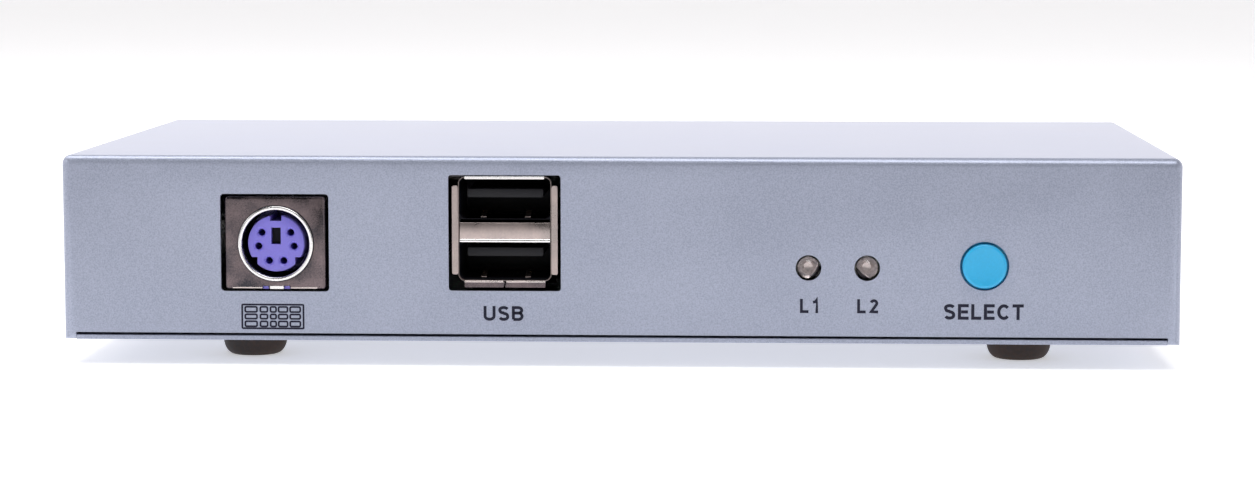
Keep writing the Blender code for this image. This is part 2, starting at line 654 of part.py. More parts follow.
def jackscrew_mesh(turn):
    """A hexagonal jackscrew about the origin, its seat at y = 0 and its thread pointing forward."""
    corner, shank = JACKSCREW_FLATS / math.sqrt(3), 7.0
    head = prism(circle(0, 0, corner, 6, turn), "Y", 0, JACKSCREW_PROUD)
    head = joined(head, prism(circle(0, 0, 1.35, 12), "Y", -shank, 0.5))
    return cut(head, prism(circle(0, 0, 1.4, 14), "Y", 1.0, JACKSCREW_PROUD + 1))


def jackscrews(look, case):
    number = 0
    for name, x in VIDEO_SOCKETS.items():
        for side in (-1, 1):
            at = (x + side * VIDEO_SCREW_X, REAR_FACE + 0.05, VIDEO_Z)
            mesh = moved(jackscrew_mesh(math.radians(12 + 25 * number)), at)
            end = "left" if side > 0 else "right"
            finished(f"video_{name}_jackscrew_{end}", mesh, look, case, at)
            number += 1


def usb_b_window(x, low, high):
    """The six-sided opening for a plug, its two upper corners cut off."""
    sill, top, half, chamfer = low + 1.15, high - 1.15, 4.4, 1.7
    shoulder = top - chamfer
    return [
        (x - half, sill),
        (x + half, sill),
        (x + half, shoulder),
        (x + half - chamfer, top),
        (x - half + chamfer, top),
        (x - half, shoulder),
    ]


def usb_b_socket(name, x, looks, case):
    low, high = USB_B_BOTTOM, USB_B_BOTTOM + USB_B_H
    left, right = x - USB_B_HALF_W, x + USB_B_HALF_W
    wall, front, back, face = 0.4, 0.6, 64.0, REAR_FACE + 0.1
    shell = prism(rectangle(left, right, low, high, [1.0, 1.0, 0.5, 0.5], 2), "Y", back, face)
    inside = rectangle(left + wall, right - wall, low + wall, high - wall, 0.6, 2)
    shell = cut(shell, prism(inside, "Y", back - 1, face - front))
    shell = cut(shell, prism(usb_b_window(x, low, high), "Y", face - 3, face + 1))
    finished(f"usb_b_{name}_shell", shell, looks["nickel"], case)
    core = block(left + 0.62, right - 0.62, back + 0.4, 69.5, low + wall + 0.2, high - wall - 0.2)
    tongue = prism(rectangle(x - 2.8, x + 2.8, high - 7.1, high - 3.85, 0.3, 2), "Y", 69.0, REAR_FACE - 1.6)
    finished(f"usb_b_{name}_insulator", joined(core, tongue), looks["white"], case)


# ---------------------------------------------------------------- the whole object


def main():
    clear_scene()
    looks = {
        "paint": material("paint", (0.34, 0.37, 0.46), 0.5),
        "rubber": material("rubber", (0.02, 0.016, 0.015), 0.7),
        "metal": material("metal", (0.6, 0.6, 0.6), 0.35, 1.0),
        "nickel": material("nickel", (0.75, 0.7, 0.67), 0.3, 1.0),
        "board": material("board", (0.02, 0.14, 0.05), 0.5),
        "chip": material("chip", (0.02, 0.02, 0.022), 0.6),
        "black": material("black", (0.03, 0.032, 0.04), 0.5),
        "purple": material("purple", (0.27, 0.22, 0.75), 0.45),
        "video_blue": material("video_blue", (0.05, 0.22, 0.46), 0.45),
        "white": material("white", (0.75, 0.75, 0.83), 0.45),
        "cream": material("cream", (0.7, 0.68, 0.6), 0.5),
        "button": material("button", (0.05, 0.42, 0.72), 0.4),
        "lamp": material("lamp", (0.8, 0.82, 0.85), 0.1),
    }
    case = bpy.data.objects.new("case", None)
    bpy.context.scene.collection.objects.link(case)
    front_y = FRONT_PROUD - (CASE_D + FRONT_PROUD + REAR_PROUD) / 2
    case.location = Vector((0, front_y, FOOT_H)) * MM

    top_cover(looks["paint"], case)
    base_tray(looks["paint"], case)
    feet(looks["rubber"], case)
    case_screws(looks["metal"], case)
    main_board(looks["board"], case)
    board_fixings(looks["metal"], case)
    electronics(looks, case)
    keyboard_socket(looks, case)
    usb_a_socket(looks, case)
    lamps(looks["lamp"], case)
    select_button(looks, case)
    for name, x in VIDEO_SOCKETS.items():
        video_socket(name, x, looks["black" if name == "out" else "video_blue"], looks, case)
    jackscrews(looks["metal"], case)
    for name, x in USB_B_SOCKETS.items():
        usb_b_socket(name, x, looks, case)


main()
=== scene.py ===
"""The looks of a two-computer KVM switch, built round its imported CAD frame.

Pieces are modelled in millimetres in the case's own coordinates, as the CAD part is: x to the right seen
from the front, y back from the front panel's outer face, z up from the case's underside. piece() puts them
in the frame, in metres.
"""

import math

import bmesh
import bpy
from mathutils import Matrix, Vector


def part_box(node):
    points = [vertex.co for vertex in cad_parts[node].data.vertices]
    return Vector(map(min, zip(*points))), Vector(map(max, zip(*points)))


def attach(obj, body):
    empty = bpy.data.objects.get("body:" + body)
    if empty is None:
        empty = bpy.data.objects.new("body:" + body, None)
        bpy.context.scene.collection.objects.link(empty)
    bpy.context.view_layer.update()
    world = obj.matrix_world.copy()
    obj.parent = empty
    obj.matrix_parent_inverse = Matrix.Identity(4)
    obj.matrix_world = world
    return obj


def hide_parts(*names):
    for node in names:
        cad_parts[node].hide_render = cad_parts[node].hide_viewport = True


MM = 0.001

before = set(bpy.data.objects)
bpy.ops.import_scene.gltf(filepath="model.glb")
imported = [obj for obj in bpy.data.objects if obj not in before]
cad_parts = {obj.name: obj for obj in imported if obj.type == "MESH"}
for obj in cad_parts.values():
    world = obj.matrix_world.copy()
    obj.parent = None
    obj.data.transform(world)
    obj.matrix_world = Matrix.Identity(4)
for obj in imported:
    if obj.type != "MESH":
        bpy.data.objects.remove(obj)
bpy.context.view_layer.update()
CASE_ORIGIN = Vector((0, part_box("top_cover")[0].y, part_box("base_tray")[0].z))


def place(node):
    """The lowest and highest corners of a CAD node, in case millimetres."""
    low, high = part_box(node)
    return (low - CASE_ORIGIN) / MM, (high - CASE_ORIGIN) / MM


def middle(node):
    low, high = place(node)
    return (low + high) / 2


def seen(node):
    """A CAD node's middle as seen from the front, x and z, then its lowest and highest corners."""
    low, high = place(node)
    return (low.x + high.x) / 2, (low.z + high.z) / 2, low, high


# ---------------------------------------------------------------- sizes, in millimetres

HALF_W, DEPTH, HEIGHT = place("top_cover")[1]
REAR = DEPTH  # outer face of the rear panel
SHEET = 0.65  # steel sheet of both halves
FOLD, FOLD_STEPS = 1.2, 7  # a fold's outer radius
PAINTED_EDGE = 0.12
COVER_LIP_HALF_W, COVER_LIP_Z = 75.05, 1.0  # the front panel's lower edge, above the tray
SCREW_TAB_HALF, SCREW_TAB_TOP = 6.0, 15.8
SCREW_CLEARANCE = 2.3
SCREW_NUMBERS = FOOT_NUMBERS = (1, 2, 3, 4)

# Openings of the front panel: x0, x1, z0, z1.
KEYBOARD_HOLE = (-54.75, -39.75, 6.8, 20.25)
USB_A_HOLE = (-23.25, -7.8, 7.0, 22.95)
LAMP_HOLE_R, BUTTON_HOLE_R = 1.75, 3.35
LAMP_TURNS = {1: 35, 2: 130}  # each lamp's own turn in its hole, in degrees

VIDEO_NAMES = ("out", "pc_1", "pc_2")
VIDEO_SCREW_X = 12.495  # from the socket's middle
VIDEO_PLATE_HALF, VIDEO_PLATE_CORNER, VIDEO_PLATE_GAP = (9.95, 5.4), 1.7, 0.2
D_HALF, D_CORNER, D_WALL = (8.15, 3.95), 2.0, 0.55
VIDEO_PLATE_FACE = REAR - 0.05
JACKSCREW_HOLE_R, JACKSCREW_SLEEVE_R = 1.75, 1.45
JACKSCREW_SEAT, JACKSCREW_FLATS, JACKSCREW_PITCH = REAR + 0.05, 4.5, 0.6
USB_B_NAMES = ("pc_1", "pc_2")
USB_B_SILL, USB_B_HEAD = 0.95, 1.12  # from the can's lower and upper sides to its window

INK_HEIGHT = 0.015
STROKE = 0.2  # of the capitals' height


# ---------------------------------------------------------------- outlines


def rounded(corners, radius=0.0, steps=3):
    """The outline through the corners, each rounded with the radius, or with its own from a list."""
    radii = radius if isinstance(radius, (list, tuple)) else [radius] * len(corners)
    outline = []
    for i, (corner, r) in enumerate(zip(corners, radii)):
        here = Vector(corner)
        before = (Vector(corners[i - 1]) - here).normalized()
        after = (Vector(corners[(i + 1) % len(corners)]) - here).normalized()
        if r <= 0:
            outline.append(here)
            continue
        half = before.angle(after) / 2
        centre = here + (before + after).normalized() * (r / math.sin(half))
        first = here + before * (r / math.tan(half)) - centre
        last = here + after * (r / math.tan(half)) - centre
        turn = first.angle_signed(last)
        for k in range(steps + 1):
            # angle_signed counts clockwise turns as positive
            outline.append(centre + Matrix.Rotation(-turn * k / steps, 2) @ first)
    return [tuple(point) for point in outline]


def rectangle(u0, u1, v0, v1, radius=0.0, steps=3):
    """An upright rectangle, from its lower left corner round."""
    return rounded([(u0, v0), (u1, v0), (u1, v1), (u0, v1)], radius, steps)


def circle(u, v, radius, sides=32, start=0.0):
    angles = [start + 2 * math.pi * k / sides for k in range(sides)]
    return [(u + radius * math.cos(a), v + radius * math.sin(a)) for a in angles]


def arc(u, v, radius_u, radius_v, start, end, steps=10):
    """Points along an ellipse's arc, angles in degrees anticlockwise from the right."""
    angles = [math.radians(start + (end - start) * k / steps) for k in range(steps + 1)]
    return [(u + radius_u * math.cos(a), v + radius_v * math.sin(a)) for a in angles]


def d_outline(x, z, half_w, half_h, radius, steps=8):
    """A D-sub outline, wide side up, its ends sloping by ten degrees."""
    low, high = half_w - 2 * half_h * math.tan(math.radians(10)), half_w
    corners = [(x - low, z - half_h), (x + low, z - half_h), (x + high, z + half_h), (x - high, z + half_h)]
    return rounded(corners, radius, steps)


def arc_levels(radius, face, way, steps=4):
    """(offset, y) levels that round the edge between a side and a face that looks along way, -1 or 1."""
    angles = [math.pi / 2 * k / steps for k in range(steps + 1)]
    return [(-radius * (1 - math.cos(a)), face - way * radius * (1 - math.sin(a))) for a in angles]


# ---------------------------------------------------------------- meshes


def loft(rings, closed=False):
    """A skin over rings of equal length. The end rings are capped, unless the last ring meets the first."""
    mesh = bmesh.new()
    rows = [[mesh.verts.new(point) for point in ring] for ring in rings]
    pairs = list(zip(rows, rows[1:]))
    if closed:
        pairs.append((rows[-1], rows[0]))
    else:
        mesh.faces.new(rows[0])
        mesh.faces.new(rows[-1])
    for a, b in pairs:
        for k in range(len(a)):
            mesh.faces.new((a[k - 1], a[k], b[k], b[k - 1]))
    bmesh.ops.recalc_face_normals(mesh, faces=mesh.faces)
    return mesh


def stack(outline, levels, closed=False):
    """The outline(offset) at each (offset, y) level, lofted along Y."""
    return loft([[(u, y, v) for u, v in outline(offset)] for offset, y in levels], closed)


def prism(outline, axis, low, high):
    """The outline extruded along an axis: (y, z) along X, (x, z) along Y, or (x, y) along Z."""
    index = "XYZ".index(axis)
    rings = []
    for at in (low, high):
        ring = [[u, v] for u, v in outline]
        for point in ring:
            point.insert(index, at)
        rings.append(ring)
    return loft(rings)


def block(x0, x1, y0, y1, z0, z1):
    return prism(rectangle(x0, x1, y0, y1), "Z", z0, z1)


def slab(x0, x1, z0, z1, y0, y1, corner=0.0, steps=3):
    """A block whose corners are rounded as seen from the front."""
    return prism(rectangle(x0, x1, z0, z1, corner, steps), "Y", y0, y1)


def rod(x, z, radius, y0, y1, sides=48):
    """A round bar along Y, or the cutter of a round hole."""
    return prism(circle(x, z, radius, sides), "Y", y0, y1)


def bevelled_block(x0, x1, y0, y1, z0, z1, radius, chosen, steps):
    """A block whose edges that pass the test chosen(middle, direction) are rounded."""
    mesh = block(x0, x1, y0, y1, z0, z1)
    edges = []
    for edge in mesh.edges:
        a, b = (vert.co for vert in edge.verts)
        if chosen((a + b) / 2, (b - a).normalized()):
            edges.append(edge)
    bmesh.ops.bevel(mesh, geom=edges, offset=radius, segments=steps, profile=0.5, affect="EDGES")
    return mesh


def turned(profile, axis, at=(0, 0, 0), sides=32):
    """A turned solid: (radius, height) points from the axis round to the axis, or a closed ring off it."""
    mesh = bmesh.new()
    points = [mesh.verts.new((r, 0, h)) for r, h in profile]
    pairs = list(zip(points, points[1:]))
    if profile[0][0] > 0:
        pairs.append((points[-1], points[0]))
    geom = points + [mesh.edges.new(pair) for pair in pairs]
    up, origin = (0, 0, 1), (0, 0, 0)
    bmesh.ops.spin(mesh, geom=geom, axis=up, cent=origin, angle=2 * math.pi, steps=sides, use_merge=True)
    bmesh.ops.remove_doubles(mesh, verts=mesh.verts, dist=1e-4)
    bmesh.ops.recalc_face_normals(mesh, faces=mesh.faces)
    to_axis = {
        "Z": Matrix.Identity(3),
        "Y": Matrix.Rotation(-math.pi / 2, 3, "X"),
        "X": Matrix.Rotation(math.pi / 2, 3, "Y"),
    }[axis]
    mesh.transform(Matrix.Translation(at) @ to_axis.to_4x4())
    return mesh


def as_object(name, mesh):
    data = bpy.data.meshes.new(name)
    mesh.to_mesh(data)
    mesh.free()
    obj = bpy.data.objects.new(name, data)
    bpy.context.scene.collection.objects.link(obj)
    return obj


def gathered(meshes):
    """The meshes as one, without joining their surfaces."""
    whole = bmesh.new()
    for mesh in meshes:
        data = bpy.data.meshes.new("part")
        mesh.to_mesh(data)
        mesh.free()
        whole.from_mesh(data)
        bpy.data.meshes.remove(data)
    return whole


def combined(first, others, operation):
    """One mesh from the first and the others, by an exact Boolean. Others may not touch each other."""
    base, tool = as_object("base", first), as_object("tool", gathered(others))
    modifier = base.modifiers.new(operation, "BOOLEAN")
    modifier.operation, modifier.object, modifier.solver = operation, tool, "EXACT"
    result = bmesh.new()
    result.from_object(base, bpy.context.evaluated_depsgraph_get())
    flat, parts = math.radians(0.3), {"verts": result.verts, "edges": result.edges}
    bmesh.ops.dissolve_limit(result, angle_limit=flat, delimit={"NORMAL"}, **parts)
    for obj in (base, tool):
        data = obj.data
        bpy.data.objects.remove(obj)
        bpy.data.meshes.remove(data)
    return result


def cut(mesh, *cutters):
    return combined(mesh, cutters, "DIFFERENCE")


def joined(mesh, *others):
    for other in others:
        mesh = combined(mesh, [other], "UNION")
    return mesh


def countersunk(x, z, radius, flare, face, depth, way):
    """A cutter for a hole from a face that looks along way (-1 or 1), with a lead-in chamfer."""
    wide = radius + flare
    profile = [(0, 1), (wide, 1), (wide, 0), (radius, -flare), (radius, -depth), (0, -depth)]
    return turned([(r, way * h) for r, h in profile], "Y", (x, face, z), 16)


def on_side(mesh, side, at):
    """A mesh that looks along +X, turned to look out of the case's side (-1 or 1) and moved there."""
    if side < 0:
        mesh.transform(Matrix.Rotation(math.pi, 4, "Z"))
    mesh.transform(Matrix.Translation(at))
    return mesh


def piece(name, mesh, look, nodes=(), body="case", edge=0.0, steps=2, sharp=35):
    """The mesh as a piece of the object that rides on a CAD body and stands for the given CAD nodes.

    look is a key of LOOKS, sharp the least angle in degrees of an edge that isn't smoothed.
    """
    mesh.transform(Matrix.Translation(CASE_ORIGIN) @ Matrix.Scale(MM, 4))
    obj = as_object(name, mesh)
    obj.data.materials.append(LOOKS[look])
    obj.data.shade_smooth()
    obj.data.set_sharp_from_angle(angle=math.radians(sharp))
    if edge:
        bevel = obj.modifiers.new("edges", "BEVEL")
        bevel.width, bevel.segments = edge * MM, steps
        bevel.limit_method, bevel.angle_limit = "ANGLE", math.radians(sharp)
        bevel.harden_normals = True
    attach(obj, body)
    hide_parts(*nodes)
    return obj


# ---------------------------------------------------------------- materials


def coordinates(tree):
    return tree.nodes.new("ShaderNodeTexCoord").outputs["Object"]


def noise(tree, size, detail):
    """Noise whose features are about size millimetres across."""
    node = tree.nodes.new("ShaderNodeTexNoise")
    node.inputs["Scale"].default_value = 1 / (size * MM)
    node.inputs["Detail"].default_value = detail
    tree.links.new(coordinates(tree), node.inputs["Vector"])
    return node.outputs["Fac"]


def blended(tree, first, second, share):
    node = tree.nodes.new("ShaderNodeMix")
    node.inputs["Factor"].default_value = share
    tree.links.new(first, node.inputs["A"])
    tree.links.new(second, node.inputs["B"])
    return node.outputs["Result"]


def ranged(tree, value, low, high, spread=(0.35, 0.65)):
    node = tree.nodes.new("ShaderNodeMapRange")
    node.inputs["From Min"].default_value, node.inputs["From Max"].default_value = spread
    node.inputs["To Min"].default_value, node.inputs["To Max"].default_value = low, high
    tree.links.new(value, node.inputs["Value"])
    return node.outputs["Result"]


def ramp(tree, value, low, high, spread=(0.36, 0.64)):
    """The value as a colour, from low to high across its spread."""
    node = tree.nodes.new("ShaderNodeValToRGB")
    for element, position, colour in zip(node.color_ramp.elements, spread, (low, high)):
        element.position, element.color = position, (*colour, 1)
    tree.links.new(value, node.inputs["Fac"])
    return node.outputs["Color"]


def finish(name, colour, rough, metallic=0.0, spread=0.06, grain=0.3, mottle=9.0, share=0.5, relief=0.01,
           tint=None, **settings):
    """A procedural finish: two near colours mixed by fine grain and broad mottle, which also vary the gloss.

    rough is the range of roughness, spread how far the colours part, share the mottle's part of the mix,
    relief the bump's height and grain and mottle their features' sizes in millimetres, tint the lighter
    colour where it isn't colour itself. Settings are the shader's other sockets.
    """
    made = bpy.data.materials.new(name)
    made.use_nodes = True
    tree = made.node_tree
    shader = tree.nodes["Principled BSDF"]
    shader.inputs["Metallic"].default_value = metallic
    for socket, value in settings.items():
        shader.inputs[socket.replace("_", " ")].default_value = value
    fine, broad = noise(tree, grain, 3.0), noise(tree, mottle, 2.0)
    tone = blended(tree, fine, broad, share)
    dark = [c * (1 - spread) for c in colour]
    light = [min(1.0, c * (1 + spread)) for c in tint or colour]
    tree.links.new(ramp(tree, tone, dark, light), shader.inputs["Base Color"])
    tree.links.new(ranged(tree, tone, *rough), shader.inputs["Roughness"])
    bump = tree.nodes.new("ShaderNodeBump")
    bump.inputs["Distance"].default_value = relief * MM
    tree.links.new(fine, bump.inputs["Height"])
    tree.links.new(bump.outputs["Normal"], shader.inputs["Normal"])
    return made


def circuit_board_finish():
    """Green solder mask over copper tracks, which show as slightly lighter bands."""
    mask, patch, track = (0.012, 0.09, 0.035), (0.016, 0.1, 0.04), (0.05, 0.22, 0.09)
    made = finish("board_mask", mask, (0.3, 0.42), grain=0.2, relief=0.004)
    tree = made.node_tree
    bricks = tree.nodes.new("ShaderNodeTexBrick")
    bricks.inputs["Scale"].default_value = 1 / (6 * MM)
    bricks.inputs["Mortar Size"].default_value = 0.03
    for socket, colour in (("Color1", mask), ("Color2", patch), ("Mortar", track)):
        bricks.inputs[socket].default_value = (*colour, 1)
    tree.links.new(coordinates(tree), bricks.inputs["Vector"])
    tree.links.new(bricks.outputs["Color"], tree.nodes["Principled BSDF"].inputs["Base Color"])
    return made


def metal(name, colour, rough, spread, grain, mottle, share, relief, tint=None):
    return finish(name, colour, rough, 1.0, spread, grain, mottle, share, relief, tint)


def nickels():
    """The sockets' plating as lit and shaded copies of one nickel (painted shade, painted half shade and
    painted highlight), the turned screws, and the painted shade inside their bores.
    """
    return {
        "nickel": metal(
            "nickel", (0.60, 0.55, 0.525), (0.18, 0.36), 0.14, 0.3, 3.5, 0.75, 0.003, (0.66, 0.57, 0.55)
        ),
        # the plating darkened: painted shade
        "painted_shade_nickel": metal(
            "painted_shade_nickel", (0.055, 0.053, 0.062), (0.12, 0.42), 0.3, 0.25, 5.0, 0.72, 0.003,
            (0.165, 0.128, 0.132),
        ),
        # the plating somewhat darkened: painted half shade
        "painted_half_shade_nickel": metal(
            "painted_half_shade_nickel", (0.38, 0.33, 0.315), (0.25, 0.4), 0.12, 0.3, 4.0, 0.75, 0.003, (0.46, 0.38, 0.36)
        ),
        # the plating lightened: painted highlight
        "painted_highlight_nickel": metal(
            "painted_highlight_nickel", (0.82, 0.805, 0.80), (0.2, 0.3), 0.03, 0.4, 3.0, 0.7, 0.001
        ),
        "screw_nickel": metal("screw_nickel", (0.66, 0.61, 0.59), (0.12, 0.26), 0.12, 0.3, 2.0, 0.6, 0.002),
        # dark brown: painted shade inside the jackscrews' bores
        "painted_bore_shade": metal("painted_bore_shade", (0.17, 0.115, 0.105), (0.15, 0.3), 0.2, 0.3, 1.5, 0.6, 0.004),
    }


def steels():
    """The screws' zinc, the contacts' gold, the sockets' insides in near-black painted shade and the lamps'
    lead frames.
    """
    return {
        "steel": metal("zinc_steel", (0.55, 0.55, 0.54), (0.25, 0.4), 0.08, 0.4, 9.0, 0.5, 0.004),
        "gold": metal("contact_gold", (0.75, 0.5, 0.2), (0.2, 0.3), 0.05, 0.3, 9.0, 0.5, 0.002),
        # near-black: painted shade inside the sockets
        "painted_shade_inside": finish(
            "socket_inside", (0.008, 0.008, 0.012), (0.4, 0.55), 0.0, 0.15, 0.5, relief=0.004,
            Specular_IOR_Level=0.12,
        ),
        "lamp_frame": finish(
            "lamp_frame", (0.63, 0.56, 0.555), (0.25, 0.5), 0.7, 0.3, 0.25, 0.8, 0.5, 0.03
        ),
    }


def coatings():
    """The case's metallic paint and its printing ink."""
    return {
        "paint": finish(
            "silver_blue_paint", (0.352, 0.385, 0.497), (0.3, 0.42), 0.35, 0.13, 0.2, 14.0, 0.2, 0.008,
            (0.374, 0.4, 0.5),
        ),
        "ink": finish(
            "navy_ink", (0.013, 0.013, 0.03), (0.5, 0.65), spread=0.15, grain=0.15, relief=0.003,
            Specular_IOR_Level=0.25,
        ),
    }


def plastic(name, colour, rough, spread, grain, relief, **settings):
    return finish(name, colour, rough, spread=spread, grain=grain, relief=relief, **settings)


def dark_plastics():
    dim = {"Specular_IOR_Level": 0.3}
    brown = (0.05, 0.028, 0.02)
    return {
        "rubber": plastic("foot_rubber", (0.03, 0.021, 0.018), (0.55, 0.75), 0.2, 0.5, 0.02, tint=brown),
        "board": circuit_board_finish(),
        "chip": plastic("chip_epoxy", (0.018, 0.018, 0.02), (0.5, 0.65), 0.2, 0.12, 0.008),
        "black": plastic("black_plastic", (0.009, 0.0108, 0.022), (0.38, 0.5), 0.12, 0.2, 0.006, **dim),
        "tongue_black": plastic("tongue_black", (0.011, 0.011, 0.014), (0.5, 0.65), 0.2, 0.3, 0.006, **dim),
    }


def bright_plastics():
    """Coloured plastics, some faintly translucent, and the lamps' clear epoxy."""
    soft = {"Subsurface_Weight": 0.05, "Subsurface_Scale": 0.3 * MM}
    clear = {"Transmission_Weight": 1.0, "IOR": 1.53}
    gloss = (0.32, 0.45)
    return {
        "purple": plastic("purple_plastic", (0.215, 0.185, 0.66), gloss, 0.05, 0.25, 0.006, **soft),
        "video_blue": plastic("video_blue_plastic", (0.036, 0.17, 0.35), gloss, 0.06, 0.25, 0.006),
        "white": plastic("white_plastic", (0.74, 0.74, 0.82), gloss, 0.04, 0.25, 0.005, **soft),
        "cream": plastic("cream_plastic", (0.68, 0.65, 0.55), (0.4, 0.5), 0.05, 0.25, 0.006),
        "button": plastic("button_blue", (0.028, 0.43, 0.76), (0.28, 0.4), 0.05, 0.3, 0.005, **soft),
        "lamp": plastic("lamp_epoxy", (0.97, 0.95, 0.93), (0.02, 0.08), 0.02, 0.8, 0.002, **clear),
    }


LOOKS = {**coatings(), **nickels(), **steels(), **dark_plastics(), **bright_plastics()}


# ---------------------------------------------------------------- case


def screw_hole(side, y, z):
    """The dimpled screw hole in the cover's side, widest at the outer face."""
    dimple_r, dimple_floor, dimple_top, far = 3.05, -0.8, -0.25, 3
    profile = [(0, -far), (SCREW_CLEARANCE, -far), (SCREW_CLEARANCE, dimple_floor)]
    profile += [(dimple_r, dimple_top), (dimple_r, 1), (0, 1)]
    return on_side(turned(profile, "X", sides=40), side, (side * HALF_W, y, z))


def corner_cutter(y, inward, radius):
    """A cutter that rounds the lower corner of both sides of the cover at y."""
    outline = [(y - inward, -1), (y + inward * radius, -1)]
    outline += arc(y + inward * radius, radius, inward * radius, radius, -90, -180, 8)
    outline.append((y - inward, radius))
    return prism(outline, "X", -HALF_W - 1, HALF_W + 1)


def cover_shell():
    """The folded sheet, open below and behind."""

    def folded(at, direction):
        """Every edge of the top but the back one, and the front panel's two ends."""
        on_top = at.z > HEIGHT / 2 and abs(direction.z) < 0.5 and at.y < DEPTH * 0.9
        return on_top or (abs(direction.z) > 0.5 and at.y < DEPTH / 2)

    half_w, past = HALF_W - SHEET, 5
    outer = bevelled_block(-HALF_W, HALF_W, 0, DEPTH, 0, HEIGHT, FOLD, folded, FOLD_STEPS)
    inner = bevelled_block(
        -half_w, half_w, SHEET, DEPTH + past, -past, HEIGHT - SHEET, FOLD - SHEET, folded, 2
    )
    return cut(outer, inner)


def front_openings():
    """Cutters for the front panel: the step at its lower edge, the sockets, the button and the lamps."""
    through = (-1, 2 * SHEET)
    button = middle("select_button")
    lamp_z = lamp_height()
    return [
        block(-COVER_LIP_HALF_W, COVER_LIP_HALF_W, -1, SHEET + 0.2, -1, COVER_LIP_Z),
        slab(*KEYBOARD_HOLE, *through, 0.5, 4),
        slab(*USB_A_HOLE, *through, 0.4, 4),
        rod(button.x, button.z, BUTTON_HOLE_R, *through),
        *[rod(middle(f"led_{k}").x, lamp_z, LAMP_HOLE_R, *through) for k in (1, 2)],
    ]


def top_cover():
    """The cover: front panel, top and sides folded from one painted sheet."""
    shell = cut(cover_shell(), *front_openings())
    screws = [middle(f"case_screw_{k}") for k in SCREW_NUMBERS]
    shell = cut(shell, *[screw_hole(math.copysign(1, at.x), at.y, at.z) for at in screws])
    shell = cut(shell, corner_cutter(0, 1, 0.8))
    shell = cut(shell, corner_cutter(DEPTH, -1, 1.2))
    piece("cover_sheet", shell, "paint", ["top_cover"], edge=PAINTED_EDGE)


def screw_tabs(half_w, ys):
    """The tray's upright tabs, which the case screws go into."""
    bottom, corner_r = 0.3, 2
    tabs = []
    for side in (-1, 1):
        for y in ys:
            y0, y1 = y - SCREW_TAB_HALF, y + SCREW_TAB_HALF
            corners = [(y0, bottom), (y1, bottom), (y1, SCREW_TAB_TOP), (y0, SCREW_TAB_TOP)]
            ends = sorted((side * half_w, side * (half_w - SHEET)))
            tabs.append(prism(rounded(corners, [0, 0, corner_r, corner_r], 6), "X", *ends))
    return tabs


def rear_openings():
    """Cutters for the rear panel: each video socket's plate and jackscrews, and the USB-B cans."""
    through = (REAR - 3, REAR + 1)
    left, right, below, above = 0.28, 0.43, 0.1, 0.35  # gaps round a USB-B can
    holes = []
    for name in VIDEO_NAMES:
        x, z, _, _ = seen(f"video_{name}_shell")
        holes.append(prism(plate_outline(x, z, VIDEO_PLATE_GAP), "Y", *through))
        holes += [rod(x + u, z, JACKSCREW_HOLE_R, *through, 24) for u in (-VIDEO_SCREW_X, VIDEO_SCREW_X)]
    for name in USB_B_NAMES:
        low, high = place(f"usb_b_{name}_shell")
        holes.append(slab(low.x - left, high.x + right, low.z - below, high.z + above, *through, 0.3, 4))
    return holes


def tray_end_cuts(half_w, ys, screw_z):
    """Cutters for the tray's two ends: screw holes, a notch in front and a relief at the rear corner."""
    notch_depth, relief_w, relief_h = 1.4, 1.1, 1.1
    cutters = []
    for side in (-1, 1):
        edge = side * half_w
        ends = sorted((edge + side, edge - 3 * side))
        cutters += [prism(circle(y, screw_z, SCREW_CLEARANCE, 32), "X", *ends) for y in ys]
        # the cover's side comes down into the notch
        notch = sorted((side * COVER_LIP_HALF_W, edge + side))
        cutters.append(block(*notch, -1, notch_depth, -1, SHEET + 1))
        corner = [(edge - relief_w * side, -1), (edge + side, -1), (edge + side, relief_h), (edge, relief_h)]
        cutters.append(prism(corner, "Y", DEPTH - 1.2, DEPTH + 1))
    return cutters


def base_tray():
    """The tray: bottom, rear panel and four screw tabs."""
    corner = place("base_tray")[1]
    half_w, top, front = corner.x, corner.z, 0.1
    inner = DEPTH - SHEET
    profile = [(front, 0), (DEPTH, 0), (DEPTH, top), (inner, top), (inner, SHEET), (front, SHEET)]
    tray = prism(rounded(profile, [0, FOLD, 0, 0, FOLD - SHEET, 0], FOLD_STEPS), "X", -half_w, half_w)
    screw_ys = sorted({round(middle(f"case_screw_{k}").y, 2) for k in SCREW_NUMBERS})
    tray = combined(tray, screw_tabs(half_w, screw_ys), "UNION")
    tray = cut(tray, *rear_openings())
    tray = cut(tray, *tray_end_cuts(half_w, screw_ys, middle("case_screw_1").z))
    piece("tray_sheet", tray, "paint", ["base_tray"], edge=PAINTED_EDGE)


def feet():
    """Moulded rubber feet: a straight rim, a domed side and a flat face with a shallow ring."""
    rim, flat, edge, groove = 1.0, 3.0, 0.15, 0.15
    for number in FOOT_NUMBERS:
        low, high = place(f"foot_{number}")
        radius, top, bottom = (high.x - low.x) / 2, high.z, low.z
        x, y, _ = (low + high) / 2
        profile = [(0, top), (radius - edge, top), (radius, top - edge)]
        profile += arc(flat, top - rim, radius - flat, top - rim - bottom, 0, -90, 12)
        ring = bottom + groove
        profile += [(2.2, bottom), (2.0, ring), (1.1, ring), (0.9, bottom), (0, bottom)]
        mesh = turned(profile, "Z", (x, y, 0), 48)
        piece(f"foot_rubber_{number}", mesh, "rubber", [f"foot_{number}"])


def cross_outline(arm):
    """The outline of a cross recess whose arms have the given length."""
    half_w = arm * 0.28
    outline = []
    for k in range(4):
        turn = Matrix.Rotation(-math.pi / 2 * k, 2)
        outline += [tuple(turn @ Vector(p)) for p in ((-half_w, arm), (half_w, arm), (half_w, half_w))]
    return outline


def cross_recess():
    """A cutter that narrows as it goes into a face that looks along +X."""
    mouth, floor = (0.5, 1.75), (-1.3, 0.7)  # x, and the arms' length there
    return loft([[(x, u, v) for u, v in cross_outline(arm)] for x, arm in (mouth, floor)])


